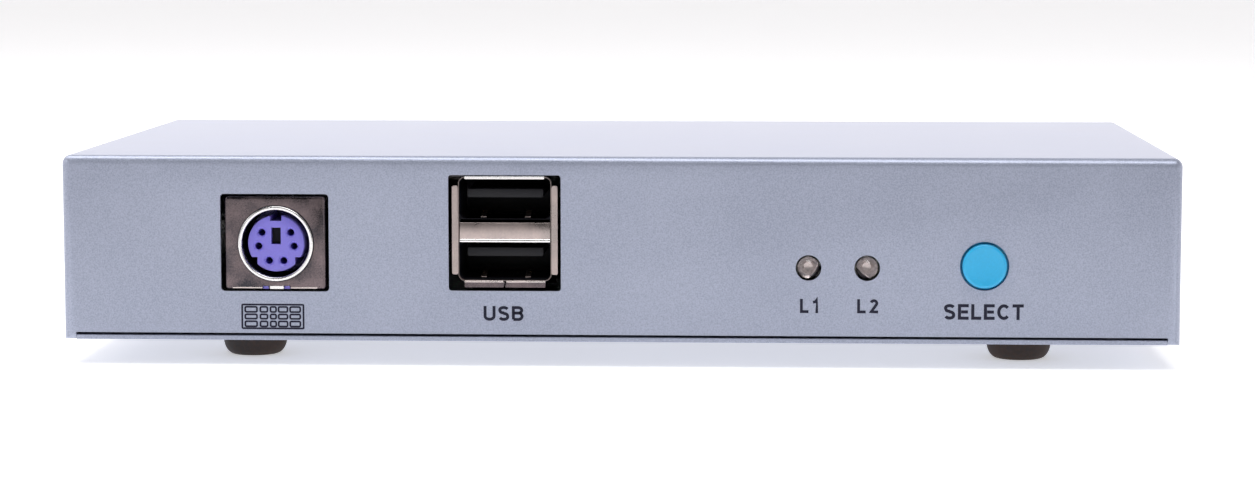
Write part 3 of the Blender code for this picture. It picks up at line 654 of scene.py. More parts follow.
def case_screws():
    """Countersunk screws with a cross recess, flush with the cover's sides."""
    head, shank, length, rim, edge = 2.8, 1.35, 5.0, 0.2, 0.08
    first_crest, pitch, thread_depth = -2.0, 0.5, 0.18
    profile = [(0, 0), (head - edge, 0), (head, -edge), (head, -rim), (shank, -rim - (head - shank))]
    for k in range(6):
        crest = first_crest - pitch * k
        profile += [(shank, crest), (shank - thread_depth, crest - pitch / 2)]
    profile += [(shank - 0.2, -length), (0, -length)]
    for number in SCREW_NUMBERS:
        low, high = place(f"case_screw_{number}")
        side = math.copysign(1, low.x)
        screw = cut(turned(profile, "X", sides=40), cross_recess())
        screw.transform(Matrix.Rotation(math.radians(20 + 31 * number), 4, "X"))
        face = high.x if side > 0 else low.x
        on_side(screw, side, (face, (low.y + high.y) / 2, (low.z + high.z) / 2))
        name = f"case_screw_head_{number}"
        piece(name, screw, "steel", [f"case_screw_{number}"], sharp=25)


# ---------------------------------------------------------------- keyboard socket


def keyboard_socket():
    x, z, low, high = seen("ps2_ring")
    keyboard_shield(x, z)
    keyboard_ring(x, z, low, high)
    keyboard_housing(x, z)


def keyboard_shield(x, z):
    """The nickel can: a plate with rolled edges, a round window and a hem below. Two notches flank a tab.
    The plate is darkened as painted shade and the tab lightened as painted highlight.
    """
    low, high = place("ps2_shield")
    window_r, wall, roll, corner = 5.3, 0.35, 0.35, 0.5
    front, behind, base = low.y - 1, low.y + 1, low.z

    def outline(offset):
        return rectangle(low.x - offset, high.x + offset, base - offset, high.z + offset, corner + offset, 5)

    can = stack(outline, [(0, high.y), *arc_levels(roll, low.y, -1)])
    can = cut(can, block(low.x + wall, high.x - wall, low.y + wall, high.y + 1, base - 1, high.z - wall))
    notch_spans = ((-1.9, -0.95), (1.05, 2.0))
    notches = [block(x + u0, x + u1, front, behind, base - 1, base + 0.5) for u0, u1 in notch_spans]
    can = cut(can, rod(x, z, window_r, front, behind, 64), *notches)
    # the plate in nickel darkened as painted shade
    piece("keyboard_shield", can, "painted_shade_nickel", ["ps2_shield"], edge=0.08)
    tab = slab(x - 0.87, x + 1.05, base + 0.04, base + 0.5, low.y - 0.06, low.y + 0.3, 0.1, 3)
    # the tab in nickel lightened as painted highlight
    piece("keyboard_shield_tab", tab, "painted_highlight_nickel", edge=0.06)
    hem_spans = ((low.x + 1.0, x - 1.9), (x + 2.0, high.x - 1.2))
    hem = (base + 0.12, base + 0.32, low.y - 0.05, low.y + 0.3)
    hems = [slab(*span, *hem, 0.06, 3) for span in hem_spans]
    piece("keyboard_shield_hem", gathered(hems), "nickel", edge=0.05)


def keyboard_ring(x, z, low, high):
    """A rolled lip in nickel lightened as painted highlight, and behind it a sleeve darkened as painted
    shade.
    """
    outer, wall, rim, lip_end, sleeve_start, gap = (high.x - low.x) / 2, 0.52, 0.16, 0.9, 0.6, 0.03
    profile = [(outer - wall, lip_end)]
    for start, centre in ((180, outer - wall + rim), (90, outer - rim)):
        profile += [(u, low.y + rim - v) for u, v in arc(centre, 0, rim, rim, start, start - 90, 4)]
    profile.append((outer, lip_end))
    lip = turned(profile, "Y", (x, 0, z), 64)
    # the lip lightened: painted highlight
    piece("keyboard_ring_lip", lip, "painted_highlight_nickel", ["ps2_ring"])
    inside, outside = outer - wall + gap, outer - gap
    sleeve = [(inside, sleeve_start), (outside, sleeve_start), (outside, high.y), (inside, high.y)]
    # the sleeve near-black: painted shade
    piece("keyboard_ring_sleeve", turned(sleeve, "Y", (x, 0, z), 64), "painted_shade_inside")


def keyboard_housing(x, z):
    """Purple insulator: an island with six pin holes, a key slot and three notches, in a round well."""
    low, high = place("ps2_housing")
    well_end, well_r, island_r, edge, face = 8.5, 5.4, 3.9, 0.16, low.y
    before = face - 1
    body = block(low.x, high.x, face + 0.45, high.y, place("ps2_shield")[0].z + 0.4, high.z)
    nubs = [block(x + u, x + u + 0.75, face, face + 0.6, low.z + 0.9, low.z + 1.3) for u in (-1.85, 1.1)]
    body = cut(combined(body, nubs, "UNION"), rod(x, z, well_r, before, well_end, 64))
    profile = [(0, face), (island_r - edge, face), (island_r - 0.04, face + 0.06), (island_r, face + edge)]
    profile += [(island_r, well_end + 1), (0, well_end + 1)]
    slots = [
        block(x - 0.78, x + 0.78, before, well_end - 1, z + 3.1, z + 5),
        block(x - 4.5, x - 2.6, before, well_end - 1, z - 4.5, z - 1.9),
        block(x + 2.6, x + 4.5, before, well_end - 1, z - 4.5, z - 1.9),
        block(x - 0.66, x + 0.66, before, well_end - 2, z - 0.12, z + 2.18),
    ]
    for u, v in ((2.0, 1.5), (2.45, -0.4), (1.0, -2.4)):  # each pair of pins
        slots += [countersunk(x + side * u, z + v, 0.5, 0.26, face, 6, -1) for side in (-1, 1)]
    # a near-black block in the key slot: painted shade in its depth
    slot_shade = block(x - 0.63, x + 0.63, face + 0.9, well_end - 2.5, z - 0.06, z + 2.12)
    piece("keyboard_key_slot_shade", slot_shade, "painted_shade_inside", edge=0.05)
    island = cut(turned(profile, "Y", (x, 0, z), 64), *slots)
    piece("keyboard_insulator", joined(body, island), "purple", ["ps2_housing"], edge=0.06)


# ---------------------------------------------------------------- USB sockets on the front


def usb_a_socket():
    """Two openings, one above the other, in a can whose rim stands just behind the panel's face."""
    x, _, _, high = seen("usb_a_shell")
    back = high.y
    wall, corner, half, low_z, high_z = 0.14, 1.0, 6.42, 8.35, 22.75
    front, edge, behind, well_r, well_end = 0.12, 0.2, 1.2, 0.8, back - 4.9
    openings = ((8.6, 13.64), (16.9, 22.5))

    def tube(offset):
        sides = (x - half - offset, x + half + offset)
        return rectangle(*sides, low_z - offset, high_z + offset, corner + offset, 6)

    levels = [(0.0, behind), (0.0, edge), (-0.05, front)]
    levels += [(-wall + 0.05, front), (-wall, edge), (-wall, behind)]
    # the rim in nickel darkened as painted half shade
    piece("usb_a_rim", stack(tube, levels, True), "painted_half_shade_nickel", ["usb_a_shell"])
    sleeve, inner = prism(tube(0.0), "Y", 0.9, back), half - wall
    wells = [slab(x - inner, x + inner, z0, z1, 0.0, well_end, well_r, 5) for z0, z1 in openings]
    # the can's walls behind the rim, near-black as painted shade
    piece("usb_a_sleeve", cut(sleeve, *wells), "painted_shade_inside")
    usb_a_divider(x, inner - 0.08, openings[0][1], openings[1][0])
    usb_a_lips(x)
    usb_a_springs(x, openings)
    usb_a_insulator(x)


def usb_a_divider(x, half, low, high):
    """The folded bar between the openings: a step along its top and a bead along its lower edge. The bar is
    darkened as painted half shade, the step as painted shade, and the bead lightened as painted highlight.
    """
    face, depth, step, bead = 0.3, 9.0, 0.5, 0.27
    ends = (x - half, x + half)
    body = prism(rectangle(face, depth, low + bead, high - step, 0.1, 3), "X", *ends)
    # the bar in nickel darkened as painted half shade
    piece("usb_a_divider", body, "painted_half_shade_nickel", sharp=50)
    back = block(*ends, face + 0.6, depth - 1, high - step - 0.2, high)
    # the step in nickel darkened as painted shade
    piece("usb_a_divider_step", back, "painted_shade_nickel", edge=0.08)
    round_side = arc(face + 0.12, low + bead, bead, bead, 90, 270, 8)
    roll = [(face + 1, low + 2 * bead), *round_side, (face + 1, low)]
    # the bead in nickel lightened as painted highlight
    piece("usb_a_divider_bead", prism(roll, "X", *ends), "painted_highlight_nickel", sharp=50)


def usb_a_lips(x):
    """The can's flared lips: up each side, along the top, and a pair with rolled tops along the bottom."""
    face, back = 0.02, 0.3
    sides = []
    for side in (-1, 1):
        near, far = sorted((x + side * 6.4, x + side * 7.28))
        sides.append(slab(near, far, 9.25, 21.5, face, back, 0.25, 4))
    # the side lips in nickel darkened as painted half shade
    piece("usb_a_side_lips", gathered(sides), "painted_half_shade_nickel", edge=0.1, steps=3)
    top = slab(x - 5.55, x + 5.45, 22.38, 22.85, face, back, 0.12, 3)
    # the top lip in nickel lightened as painted highlight
    piece("usb_a_top_lip", top, "painted_highlight_nickel", edge=0.1, steps=3)
    bottom, flange_top, slant, roll_r, roll_z = 7.48, 8.3, 0.12, 0.14, 8.28
    flanges, rolls = [], []
    for side in (-1, 1):
        near, far = x + side * 0.1, x + side * 5.55
        corners = [(near - slant, bottom), (far, bottom), (far, flange_top), (near + slant, flange_top)]
        flanges.append(prism(rounded(corners, 0.1, 3), "Y", face + 0.1, back + 0.1))
        round_side = arc(face + roll_r, roll_z, roll_r, roll_r, 90, 270, 6)
        roll = [(face + 0.3, roll_z + roll_r), *round_side, (face + 0.3, roll_z - roll_r)]
        rolls.append(prism(roll, "X", *sorted((x + side * 0.22, far))))
    # the bottom flanges in nickel darkened as painted shade
    piece("usb_a_bottom_lips", gathered(flanges), "painted_shade_nickel", edge=0.09, steps=3)
    piece("usb_a_bottom_rolls", gathered(rolls), "nickel", sharp=50)


def usb_a_springs(x, openings):
    """The can's contact springs: short leaves that rise from the floor of each opening."""
    half_w, thick, height, start, step, count = 0.4, 0.12, 0.75, 1.8, 0.5, 12
    for row, (floor, _) in enumerate(openings, 1):
        for side, end in ((-1, "left"), (1, "right")):
            centre = x + side * 3.05
            line = []
            for k in range(count + 1):
                rise = math.sin(math.pi * (0.12 + 0.8 * k / count)) ** 2
                line.append((start + step * k, floor + height * rise))
            outline = line + [(y, z + thick) for y, z in reversed(line)]
            leaf = prism(outline, "X", centre - half_w, centre + half_w)
            # the springs in nickel darkened as painted half shade
            piece(f"usb_a_spring_{row}_{end}", leaf, "painted_half_shade_nickel", edge=0.03)


def usb_a_insulator(x):
    """Black tongues with four contacts each, on a block that fills the back of the can."""
    low, high = place("usb_a_insulator")
    core = block(x - 6.2, x + 6.2, 12.0, 16.4, 8.8, 22.3)
    base = block(x - 5.9, x + 5.9, 16.9, high.y, low.z, 20.0)
    bridge = block(x - 5.6, x + 5.6, 16.0, 17.2, 12.0, 19.0)
    half_w, thick, corner = 5.25, 1.2, 0.25
    tongues, contacts = [], []
    for bottom in (11.7, 19.8):
        def outline(offset, bottom=bottom):
            low_z, high_z = bottom - offset, bottom + thick + offset
            return rectangle(x - half_w - offset, x + half_w + offset, low_z, high_z, corner + offset, 3)

        tongues.append(stack(outline, [(0, 12.5), *arc_levels(0.15, 1.2, -1, 2)]))
        for middle_x in (x - 3.5, x - 1.0, x + 1.0, x + 3.5):
            contacts.append(block(middle_x - 0.5, middle_x + 0.5, 2.4, 11.9, bottom - 0.06, bottom + 0.3))
    mesh = joined(core, *tongues, bridge, base)
    piece("usb_a_tongues", mesh, "tongue_black", ["usb_a_insulator"])
    piece("usb_a_contacts", gathered(contacts), "gold", edge=0.03)


# ---------------------------------------------------------------- lamps and button


def lamp_height():
    """The height of the lamps' axis: the top of a lamp's box less its flange's radius."""
    low, high = place("led_1")
    return high.z - (high.x - low.x) / 2


def lamp_inside():
    """A lamp's lead frame about the Y axis: the anvil with its reflector cup, and the post beside it."""
    dish = [(0, 1.5), (0.3, 1.45), (0.7, 0.95), (1.2, 0.8), (1.28, 0.95), (1.28, 3.4), (0, 3.4)]
    gap = block(0.62, 0.78, 0, 5, -2, 2)
    step = block(0.78, 2, 0, 1.15, -2, 2)
    return cut(turned(dish, "Y", sides=32), gap, step)


def lamp_legs(x, z, start, foot):
    """Two square legs that run back from the body and turn down into the board."""
    half, bend, spacing = 0.25, 8.25, 1.27
    inner, top, bottom = bend - 2 * half, z + half, z - half
    outline = [(start, top), (bend, top), (bend, foot), (inner, foot), (inner, bottom), (start, bottom)]
    return [prism(outline, "X", x + u - half, x + u + half) for u in (-spacing, spacing)]


def lamps():
    """3 mm lamps: a clear domed body over its lead frame, on two bent legs."""
    z, radius, length = lamp_height(), 1.5, 4.3
    for number in (1, 2):
        name = f"led_{number}"
        x, _, low, high = seen(name)
        flange_r = (high.x - low.x) / 2
        profile = arc(0, low.y + radius, radius, radius, -90, 0, 12)
        profile += [(radius, length), (flange_r, length), (flange_r, length + 1), (0, length + 1)]
        profile[0] = (0, low.y)
        piece(f"lamp_{number}_body", turned(profile, "Y", (x, 0, z), 48), "lamp", [name])
        inside = lamp_inside()
        turn = Matrix.Rotation(math.radians(LAMP_TURNS[number]), 4, "Y")
        inside.transform(Matrix.Translation((x, 0, z)) @ turn)
        piece(f"lamp_{number}_frame", inside, "lamp_frame")
        legs = gathered(lamp_legs(x, z, length + 0.7, low.z))
        piece(f"lamp_{number}_legs", legs, "steel", edge=0.05)


def select_button():
    """The pushed cap: a shallow dished face with a soft rim, a flange behind the panel and a socket."""
    x, z, low, high = seen("select_button")
    face = low.y
    r, flange_r, neck_r, rim = 3.02, (high.x - low.x) / 2, 2.9, 0.38
    flange_start, flange_end, socket_half = 1.0, 1.9, 1.65
    profile = [(0, face + 0.1), (r - 1.2, face + 0.08), (r - 0.55, face + 0.03)]
    profile += arc(r - rim, face + rim, rim, rim, -90, 0, 6)
    profile += [(r, flange_start), (flange_r, flange_start), (flange_r, flange_end)]
    profile += [(neck_r, flange_end), (neck_r, high.y), (0, high.y)]
    socket = block(x - socket_half, x + socket_half, 2.2, 5, z - socket_half, z + socket_half)
    cap = cut(turned(profile, "Y", (x, 0, z), 64), socket)
    piece("button_cap", cap, "button", ["select_button"], body="button")


# ---------------------------------------------------------------- video sockets


def plate_outline(x, z, offset=0.0):
    """The rounded outline of a video socket's raised plate."""
    half_w, half_h = (half + offset for half in VIDEO_PLATE_HALF)
    return rectangle(x - half_w, x + half_w, z - half_h, z + half_h, VIDEO_PLATE_CORNER + offset, 8)


def video_sockets():
    for name in VIDEO_NAMES:
        x, z, _, _ = seen(f"video_{name}_shell")
        video_plate(name, x, z)
        video_skirt(name, x, z)
        video_insulator(name, x, z)
        for end, side in (("left", 1), ("right", -1)):
            node = f"video_{name}_jackscrew_{end}"
            jackscrew(node, x + side * VIDEO_SCREW_X, z)
            jackscrew_bore(node, x + side * VIDEO_SCREW_X, z)


def video_d(x, z):
    """A socket's D-shaped outline, as a function of how far outside the skirt's outer face it runs."""
    return lambda offset: d_outline(x, z, D_HALF[0] + offset, D_HALF[1] + offset, D_CORNER + offset)


def video_plate(name, x, z):
    """The raised plate, on its hidden flange."""
    low, high = place(f"video_{name}_shell")
    front, behind = low.y - 1, low.y + 1
    flange = slab(low.x, high.x, low.z, high.z, low.y, low.y + 0.5, 1.5, 6)
    holes = [rod(x + u, z, 1.7, front, behind, 24) for u in (-VIDEO_SCREW_X, VIDEO_SCREW_X)]
    levels = [(0, low.y + 0.25), *arc_levels(0.3, VIDEO_PLATE_FACE, 1)]
    plate = stack(lambda offset: plate_outline(x, z, offset), levels)
    opening = prism(video_d(x, z)(-0.2), "Y", front, REAR + 1)
    plate = cut(joined(flange, plate), opening, *holes)
    piece(f"video_{name}_plate", plate, "nickel", [f"video_{name}_shell"], edge=0.05)


def video_skirt(name, x, z):
    """The drawn skirt: a round root, a low ridge half way along it, and a mouth with a round edge. The skirt
    is darkened as painted shade and the mouth lightened as painted highlight.
    """
    low, high = place(f"video_{name}_shell")
    face, tip, seam, root, mouth = VIDEO_PLATE_FACE, high.y, high.y - 1.1, 0.7, D_WALL / 2
    skirt = arc(root, face - 0.02 + root, root, root, -90, -180, 6)
    ridge = face + (seam - face) * 0.55
    skirt += [(0.0, ridge - 0.25), (0.1, ridge - 0.1), (0.1, ridge + 0.1), (0.0, ridge + 0.25)]
    skirt += [(0.0, seam), (-D_WALL, seam), (-D_WALL, low.y), (-0.2, low.y), (-0.2, face - 0.3)]
    skirt = stack(video_d(x, z), skirt, True)
    # the skirt in nickel darkened as painted shade
    piece(f"video_{name}_skirt", skirt, "painted_shade_nickel")
    rim = [(-D_WALL, seam - 0.3), (0.02, seam - 0.3), (0.04, seam + 0.1)]
    rim += arc(-mouth, tip - mouth, mouth, mouth, 0, 180, 8)
    rim = stack(video_d(x, z), rim, True)
    # the mouth in nickel lightened as painted highlight
    piece(f"video_{name}_rim", rim, "painted_highlight_nickel")


def video_insulator(name, x, z):
    """The insulator: a D-shaped nose with three rows of five contact holes, and its body in the case."""
    look, slot = ("black", "video_black_plastic") if name == "out" else ("video_blue", "video_blue_plastic")
    low, high = place(f"video_{name}_insulator")
    half_w, half_h, corner, pitch_x, pitch_z = 7.5, 3.3, 1.45, 2.29, 1.98

    def nose_at(offset):
        return d_outline(x, z, half_w + offset, half_h + offset, corner + offset)

    nose = stack(nose_at, [(0, REAR - 4), *arc_levels(0.18, high.y, 1, 3)])
    holes = []
    for row, shift in ((1, 0.2), (0, -0.95), (-1, 0.2)):
        for k in range(-2, 3):
            at = (x + shift + pitch_x * k, z + pitch_z * row)
            holes.append(countersunk(*at, 0.56, 0.19, high.y, 4.5, 1))
    body = joined(block(low.x, high.x, low.y, REAR - 1.75, low.z, high.z), cut(nose, *holes))
    piece(f"video_{name}_nose", body, look, [f"video_{name}_insulator"], sharp=30)


def jackscrew(node, x, z):
    """A hexagonal jackscrew with chamfered corners, a bore with a lead-in and a threaded shank."""
    low, high = place(node)
    length = high.y - JACKSCREW_SEAT
    corner_r, face_r = JACKSCREW_FLATS / math.sqrt(3), JACKSCREW_FLATS / 2 - 0.2
    round_r = corner_r - 0.12
    turn = math.radians(12 + 25 * (sum(map(ord, node)) % 7))  # each screw's own, fixed by its name
    head = prism(circle(0, 0, corner_r, 6, turn), "Y", 0, length)
    chamfered = [(0, 0), (face_r, 0), (round_r, 0.35), (round_r, length - 0.45), (face_r, length)]
    chamfered.append((0, length))
    head = combined(head, [turned(chamfered, "Y", sides=48)], "INTERSECT")
    lead_r, sleeve_r, bore_end = 1.75, JACKSCREW_SLEEVE_R, 0.9
    bore = [(0, length + 1), (lead_r, length + 1), (lead_r, length), (sleeve_r, length - 0.35)]
    bore += [(sleeve_r, bore_end), (0, bore_end)]
    head = cut(head, turned(bore, "Y", sides=36))
    crest_r, valley_r, tip_r, tip = 1.35, 1.2, 1.1, low.y - JACKSCREW_SEAT
    shank = [(0, 0.3), (crest_r, 0.3)]
    for k in range(10):
        crest = -0.4 - JACKSCREW_PITCH * k
        shank += [(crest_r, crest), (valley_r, crest - JACKSCREW_PITCH / 2)]
    shank += [(tip_r, tip), (0, tip)]
    screw = joined(head, turned(shank, "Y", sides=20))
    screw.transform(Matrix.Translation((x, JACKSCREW_SEAT, z)))
    piece(f"{node}_turned", screw, "screw_nickel", [node], edge=0.05, sharp=28)


def jackscrew_bore(node, x, z):
    """The thread inside a jackscrew's bore, as a sleeve coloured dark brown as painted shade."""
    length, bore_r, outer_r = place(node)[1].y - JACKSCREW_SEAT, 1.3, JACKSCREW_SLEEVE_R - 0.03
    thread = [(0, 1.0), (outer_r, 1.0), (outer_r, length - 0.38), (bore_r + 0.05, length - 0.42)]
    for k in range(5):
        crest = length - 0.6 - JACKSCREW_PITCH * k
        thread += [(bore_r - 0.14, crest), (bore_r, crest - JACKSCREW_PITCH / 2)]
    thread += [(bore_r - 0.2, 1.3), (0, 1.2)]
    sleeve = turned(thread, "Y", (x, JACKSCREW_SEAT, z), 36)
    # the bore's thread coloured dark as painted shade
    piece(f"{node}_thread", sleeve, "painted_bore_shade", sharp=25)


# ---------------------------------------------------------------- USB sockets on the rear


def usb_b_sockets():
    for name in USB_B_NAMES:
        low, high = place(f"usb_b_{name}_shell")
        usb_b_shell(name, low, high)
        usb_b_sill(name, low, high)
        usb_b_insulator(name, low, high)


def usb_b_window(x, low, high):
    """The six-sided window of a USB-B socket, its upper corners chamfered."""
    half, chamfer = 4.4, 1.7
    corners = [(x - half, low), (x + half, low), (x + half, high - chamfer), (x + half - chamfer, high)]
    corners += [(x - half + chamfer, high), (x - half, high - chamfer)]
    return rounded(corners, 0.25, 3)


def usb_b_marks(x, face, low, high):
    """Cutters for the can's fold line above its window, and the nicks and slots beside it."""
    near, far = face - 1, face + 1
    marks = [block(low.x - 1, high.x + 1, face - 0.55, far, high.z - 0.56, high.z - 0.36)]
    for side in (-1, 1):
        for z in (low.z + 2.75, low.z + 6.8):
            corners = [(x + side * 4.3, z - 0.3), (x + side * 5.1, z - 0.26), (x + side * 4.3, z + 0.42)]
            marks.append(prism(corners, "Y", near, far))
        slot = sorted((x + side * 3.5, x + side * 5.3))
        marks.append(block(*slot, face - 0.8, far, low.z + 0.34, low.z + 0.54))
    return marks


def usb_b_shell(name, low, high):
    """A folded can with a six-sided window. Its front edge rounds in above and below and flares sideways."""
    x, face = (low.x + high.x) / 2, high.y
    wall, front, lower_r, upper_r = 0.4, 0.6, 0.9, 0.35

    def outline(offset):
        radii = [r + offset for r in (lower_r, lower_r, upper_r, upper_r)]
        return rectangle(low.x + offset, high.x - offset, low.z - offset, high.z + offset, radii, 5)

    can = stack(outline, [(0, low.y), *arc_levels(0.25, face, 1)])
    inside = rectangle(low.x + wall, high.x - wall, low.z + wall, high.z - wall, 0.6, 4)
    can = cut(can, prism(inside, "Y", low.y - 1, face - front))
    window = usb_b_window(x, low.z + USB_B_SILL, high.z - USB_B_HEAD)
    can = cut(can, prism(window, "Y", face - 3, face + 1))
    can = cut(can, *usb_b_marks(x, face, low, high))
    piece(f"usb_b_{name}_can", can, "nickel", [f"usb_b_{name}_shell"], edge=0.05)


def usb_b_sill(name, low, high):
    """The lip inside the window's lower edge, its rounded top slightly arched."""
    x, face, sill, half = (low.x + high.x) / 2, high.y, low.z + USB_B_SILL, 4.9
    height, below, drop, count = 1.2, 0.35, 0.22, 8
    outline = [(x - half, sill - below), (x + half, sill - below)]
    for k in range(count, -count - 1, -1):
        outline.append((x + half * k / count, sill + height - drop * (k / count) ** 2))
    bar = prism(outline, "Y", face - 2.6, face - 0.62)
    # the sill in nickel lightened as painted highlight
    piece(f"usb_b_{name}_sill", bar, "painted_highlight_nickel", edge=0.35, steps=5)


def usb_b_insulator(name, low, high):
    """A white tongue with four contacts, standing out of a core and a liner that are coloured black as
    painted shade.
    """
    x, inset = (low.x + high.x) / 2, 0.6
    core = block(x - 5.4, x + 5.4, low.y + 0.4, 69.5, low.z + inset, high.z - inset)
    # the insulator's core, coloured black as painted shade
    piece(f"usb_b_{name}_core", core, "black")
    half_w, bottom, top = 2.8, high.z - 7.2, high.z - 3.85

    def outline(offset):
        sides = (x - half_w - offset, x + half_w + offset)
        return rectangle(*sides, bottom - offset, top + offset, 0.3 + offset, 4)

    tongue = stack(outline, [(0, 69.0), *arc_levels(0.2, high.y - 1.7, 1, 3)])
    piece(f"usb_b_{name}_tongue", tongue, "white", [f"usb_b_{name}_insulator"])
    contacts = []
    for v0, v1 in ((high.z - 3.9, high.z - 3.7), (high.z - 7.35, high.z - 7.15)):
        contacts += [block(x + u - 0.45, x + u + 0.45, 69.5, high.y - 2.4, v0, v1) for u in (-1.25, 1.25)]
    # the contacts in nickel darkened as painted half shade
    piece(f"usb_b_{name}_contacts", gathered(contacts), "painted_half_shade_nickel", edge=0.04)
    outer, inner = ((low.x + gap, high.x - gap, low.z + gap, high.z - gap) for gap in (0.45, inset))
    shade_liner = cut(slab(*outer, 69.6, high.y - 0.65, 0.5, 4), slab(*inner, 69.0, high.y, 0.4, 4))
    # a black sheet inside the can: painted shade
    piece(f"usb_b_{name}_liner", shade_liner, "black")


# ---------------------------------------------------------------- print


def glyphs():
    """Capitals and digits of height one: each one's width, and its strokes along the middle of the line."""
    h = STROKE / 2
    low, high, mid, waist = h, 1 - h, 0.5, 0.53
    u_bowl = arc(0.37, 0.32, 0.37 - h, 0.32 - h, 180, 360)
    s_shape = [
        *arc(0.34, 0.74, 0.34 - h, 0.26 - h, 20, 200),
        *arc(0.34, 0.68, 0.34 - h, 0.14, 220, 262, 4),
        *arc(0.34, 0.32, 0.34 - h, 0.18, 82, 10, 6),
        *arc(0.34, 0.27, 0.34 - h, 0.27 - h, -5, -160),
    ]
    b_upper = arc(0.4, (high + waist) / 2, 0.2, (high - waist) / 2, 90, -90)
    b_lower = arc(0.42, (waist + low) / 2, 0.3 - h, (waist - low) / 2, -90, 90)
    p_bowl = arc(0.42, 0.71, 0.26 - h, 0.29 - h, 90, -90)
    two_bowl = arc(0.30, 0.71, 0.30 - h, 0.29 - h, 165, -25)
    return {
        "U": (0.74, [[(h, 1), (h, 0.32), *u_bowl, (0.74 - h, 0.32), (0.74 - h, 1)]]),
        "S": (0.68, [s_shape]),
        "B": (0.72, [
            [(h, low), (h, high), (0.4, high), *b_upper, (h, waist)], [(h, low), (0.42, low), *b_lower]
        ]),
        "L": (0.60, [[(h, 1), (h, low), (0.60, low)]]),
        "E": (0.64, [[(0.64, high), (h, high), (h, low), (0.64, low)], [(h + h, mid), (0.6, mid)]]),
        "C": (0.76, [arc(0.40, 0.5, 0.40 - h, 0.5 - h, 42, 318, 20)]),
        "T": (0.66, [[(0, high), (0.66, high)], [(0.33, high - h), (0.33, 0)]]),
        "O": (0.82, [[*arc(0.41, 0.5, 0.41 - h, 0.5 - h, 0, 342, 19), None]]),
        "P": (0.68, [[(h, 0), (h, high), (0.42, high), *p_bowl, (h + h, 0.42 + h)]]),
        "1": (0.40, [[(0.04, 0.76), (0.22, 0.80), (0.31, 1.0 - h * 0.4), (0.31, 0)]]),
        "2": (0.60, [[*two_bowl, (h + 0.02, low + 0.02), (0.60, low)]]),
        " ": (0.16, []),
    }


def distinct(points):
    """The points without any that repeats the one before it."""
    kept = [points[0]]
    for point in points[1:]:
        if (Vector(point) - Vector(kept[-1])).length > 1e-3:
            kept.append(point)
    return kept


def ribbon(points, width, closed):
    """The two edges of a line of the width, mitred at its corners, as (left, right) pairs."""
    edges = []
    for k, point in enumerate(points):
        here = Vector(point)
        ways = []
        if closed or k > 0:
            ways.append((here - Vector(points[k - 1])).normalized())
        if closed or k < len(points) - 1:
            ways.append((Vector(points[(k + 1) % len(points)]) - here).normalized())
        way = sum(ways, Vector((0, 0))).normalized()
        across = Vector((-way.y, way.x)) * (width / 2 / max(0.5, way.dot(ways[0])))
        edges.append((here + across, here - across))
    return edges


def ribbon_mesh(points, width, to_panel, closed):
    """A thin raised line: to_panel(u, v, height) gives each point's place on its panel."""
    sections = []
    for left, right in ribbon(points, width, closed):
        upper = [to_panel(*left, INK_HEIGHT), to_panel(*right, INK_HEIGHT)]
        sections.append(upper + [to_panel(*right, -INK_HEIGHT), to_panel(*left, -INK_HEIGHT)])
    return loft(sections, closed)


def text_meshes(text, middle_u, base_v, cap, to_panel, spacing, widen=1.0):
    """Printed capitals of height cap, centred on middle_u and widened sideways by a factor."""
    letters = glyphs()
    across = cap * widen
    width = sum(letters[c][0] for c in text) + spacing * (len(text) - 1)
    u = middle_u - width * across / 2
    meshes = []
    for character in text:
        advance, strokes = letters[character]
        for stroke in strokes:
            closed = stroke[-1] is None
            points = distinct([(u + p[0] * across, base_v + p[1] * cap) for p in stroke if p])
            meshes.append(ribbon_mesh(points, STROKE * cap, to_panel, closed))
        u += (advance + spacing) * across
    return meshes


def on_front(u, v, height):
    return u, -height, v


def keyboard_picture():
    """A small outline keyboard: a frame round three rows of five keys."""
    x0, x1, z0, z1, line = -51.85, -43.35, 1.65, 4.95, 0.25
    outlines = [rectangle(x0, x1, z0, z1, 0.12, 3)]
    key_spans = ((0.42, 2.05), (2.52, 3.5), (3.93, 4.7), (5.05, 6.28), (6.65, 8.05))
    row_spans = ((0.27, 0.97), (1.34, 1.94), (2.28, 2.98))
    for v0, v1 in row_spans:
        outlines += [rectangle(x0 + u0, x0 + u1, z0 + v0, z0 + v1, 0.18, 3) for u0, u1 in key_spans]
    return [ribbon_mesh(outline, line, on_front, True) for outline in outlines]


def front_print():
    meshes = keyboard_picture()
    meshes += text_meshes("USB", -15.7, 2.88, 2.05, on_front, 0.14, 1.12)
    meshes += text_meshes("L1", 26.2, 4.2, 1.95, on_front, 0.27)
    meshes += text_meshes("L2", 34.2, 4.2, 1.95, on_front, 0.27)
    meshes += text_meshes("SELECT", 50.0, 3.4, 2.15, on_front, 0.14, 1.08)
    piece("front_print", gathered(meshes), "ink")


def rear_print():
    """Labels below the rear sockets, which read from behind."""
    labels = {
        "OUT": "video_out_shell",
        "USB 1": "usb_b_pc_1_shell",
        "PC 2": "video_pc_2_shell",
        "USB 2": "usb_b_pc_2_shell",
        "PC 1": "video_pc_1_shell",
    }
    base_z, cap, spacing, widen = 2.85, 2.02, 0.18, 1.08
    meshes = []
    for text, node in labels.items():
        x = middle(node).x

        def to_panel(u, v, height, x=x):
            return x - u, REAR + height, v

        meshes += text_meshes(text, 0, base_z, cap, to_panel, spacing, widen)
    piece("rear_print", gathered(meshes), "ink")


# ---------------------------------------------------------------- CAD nodes that stay


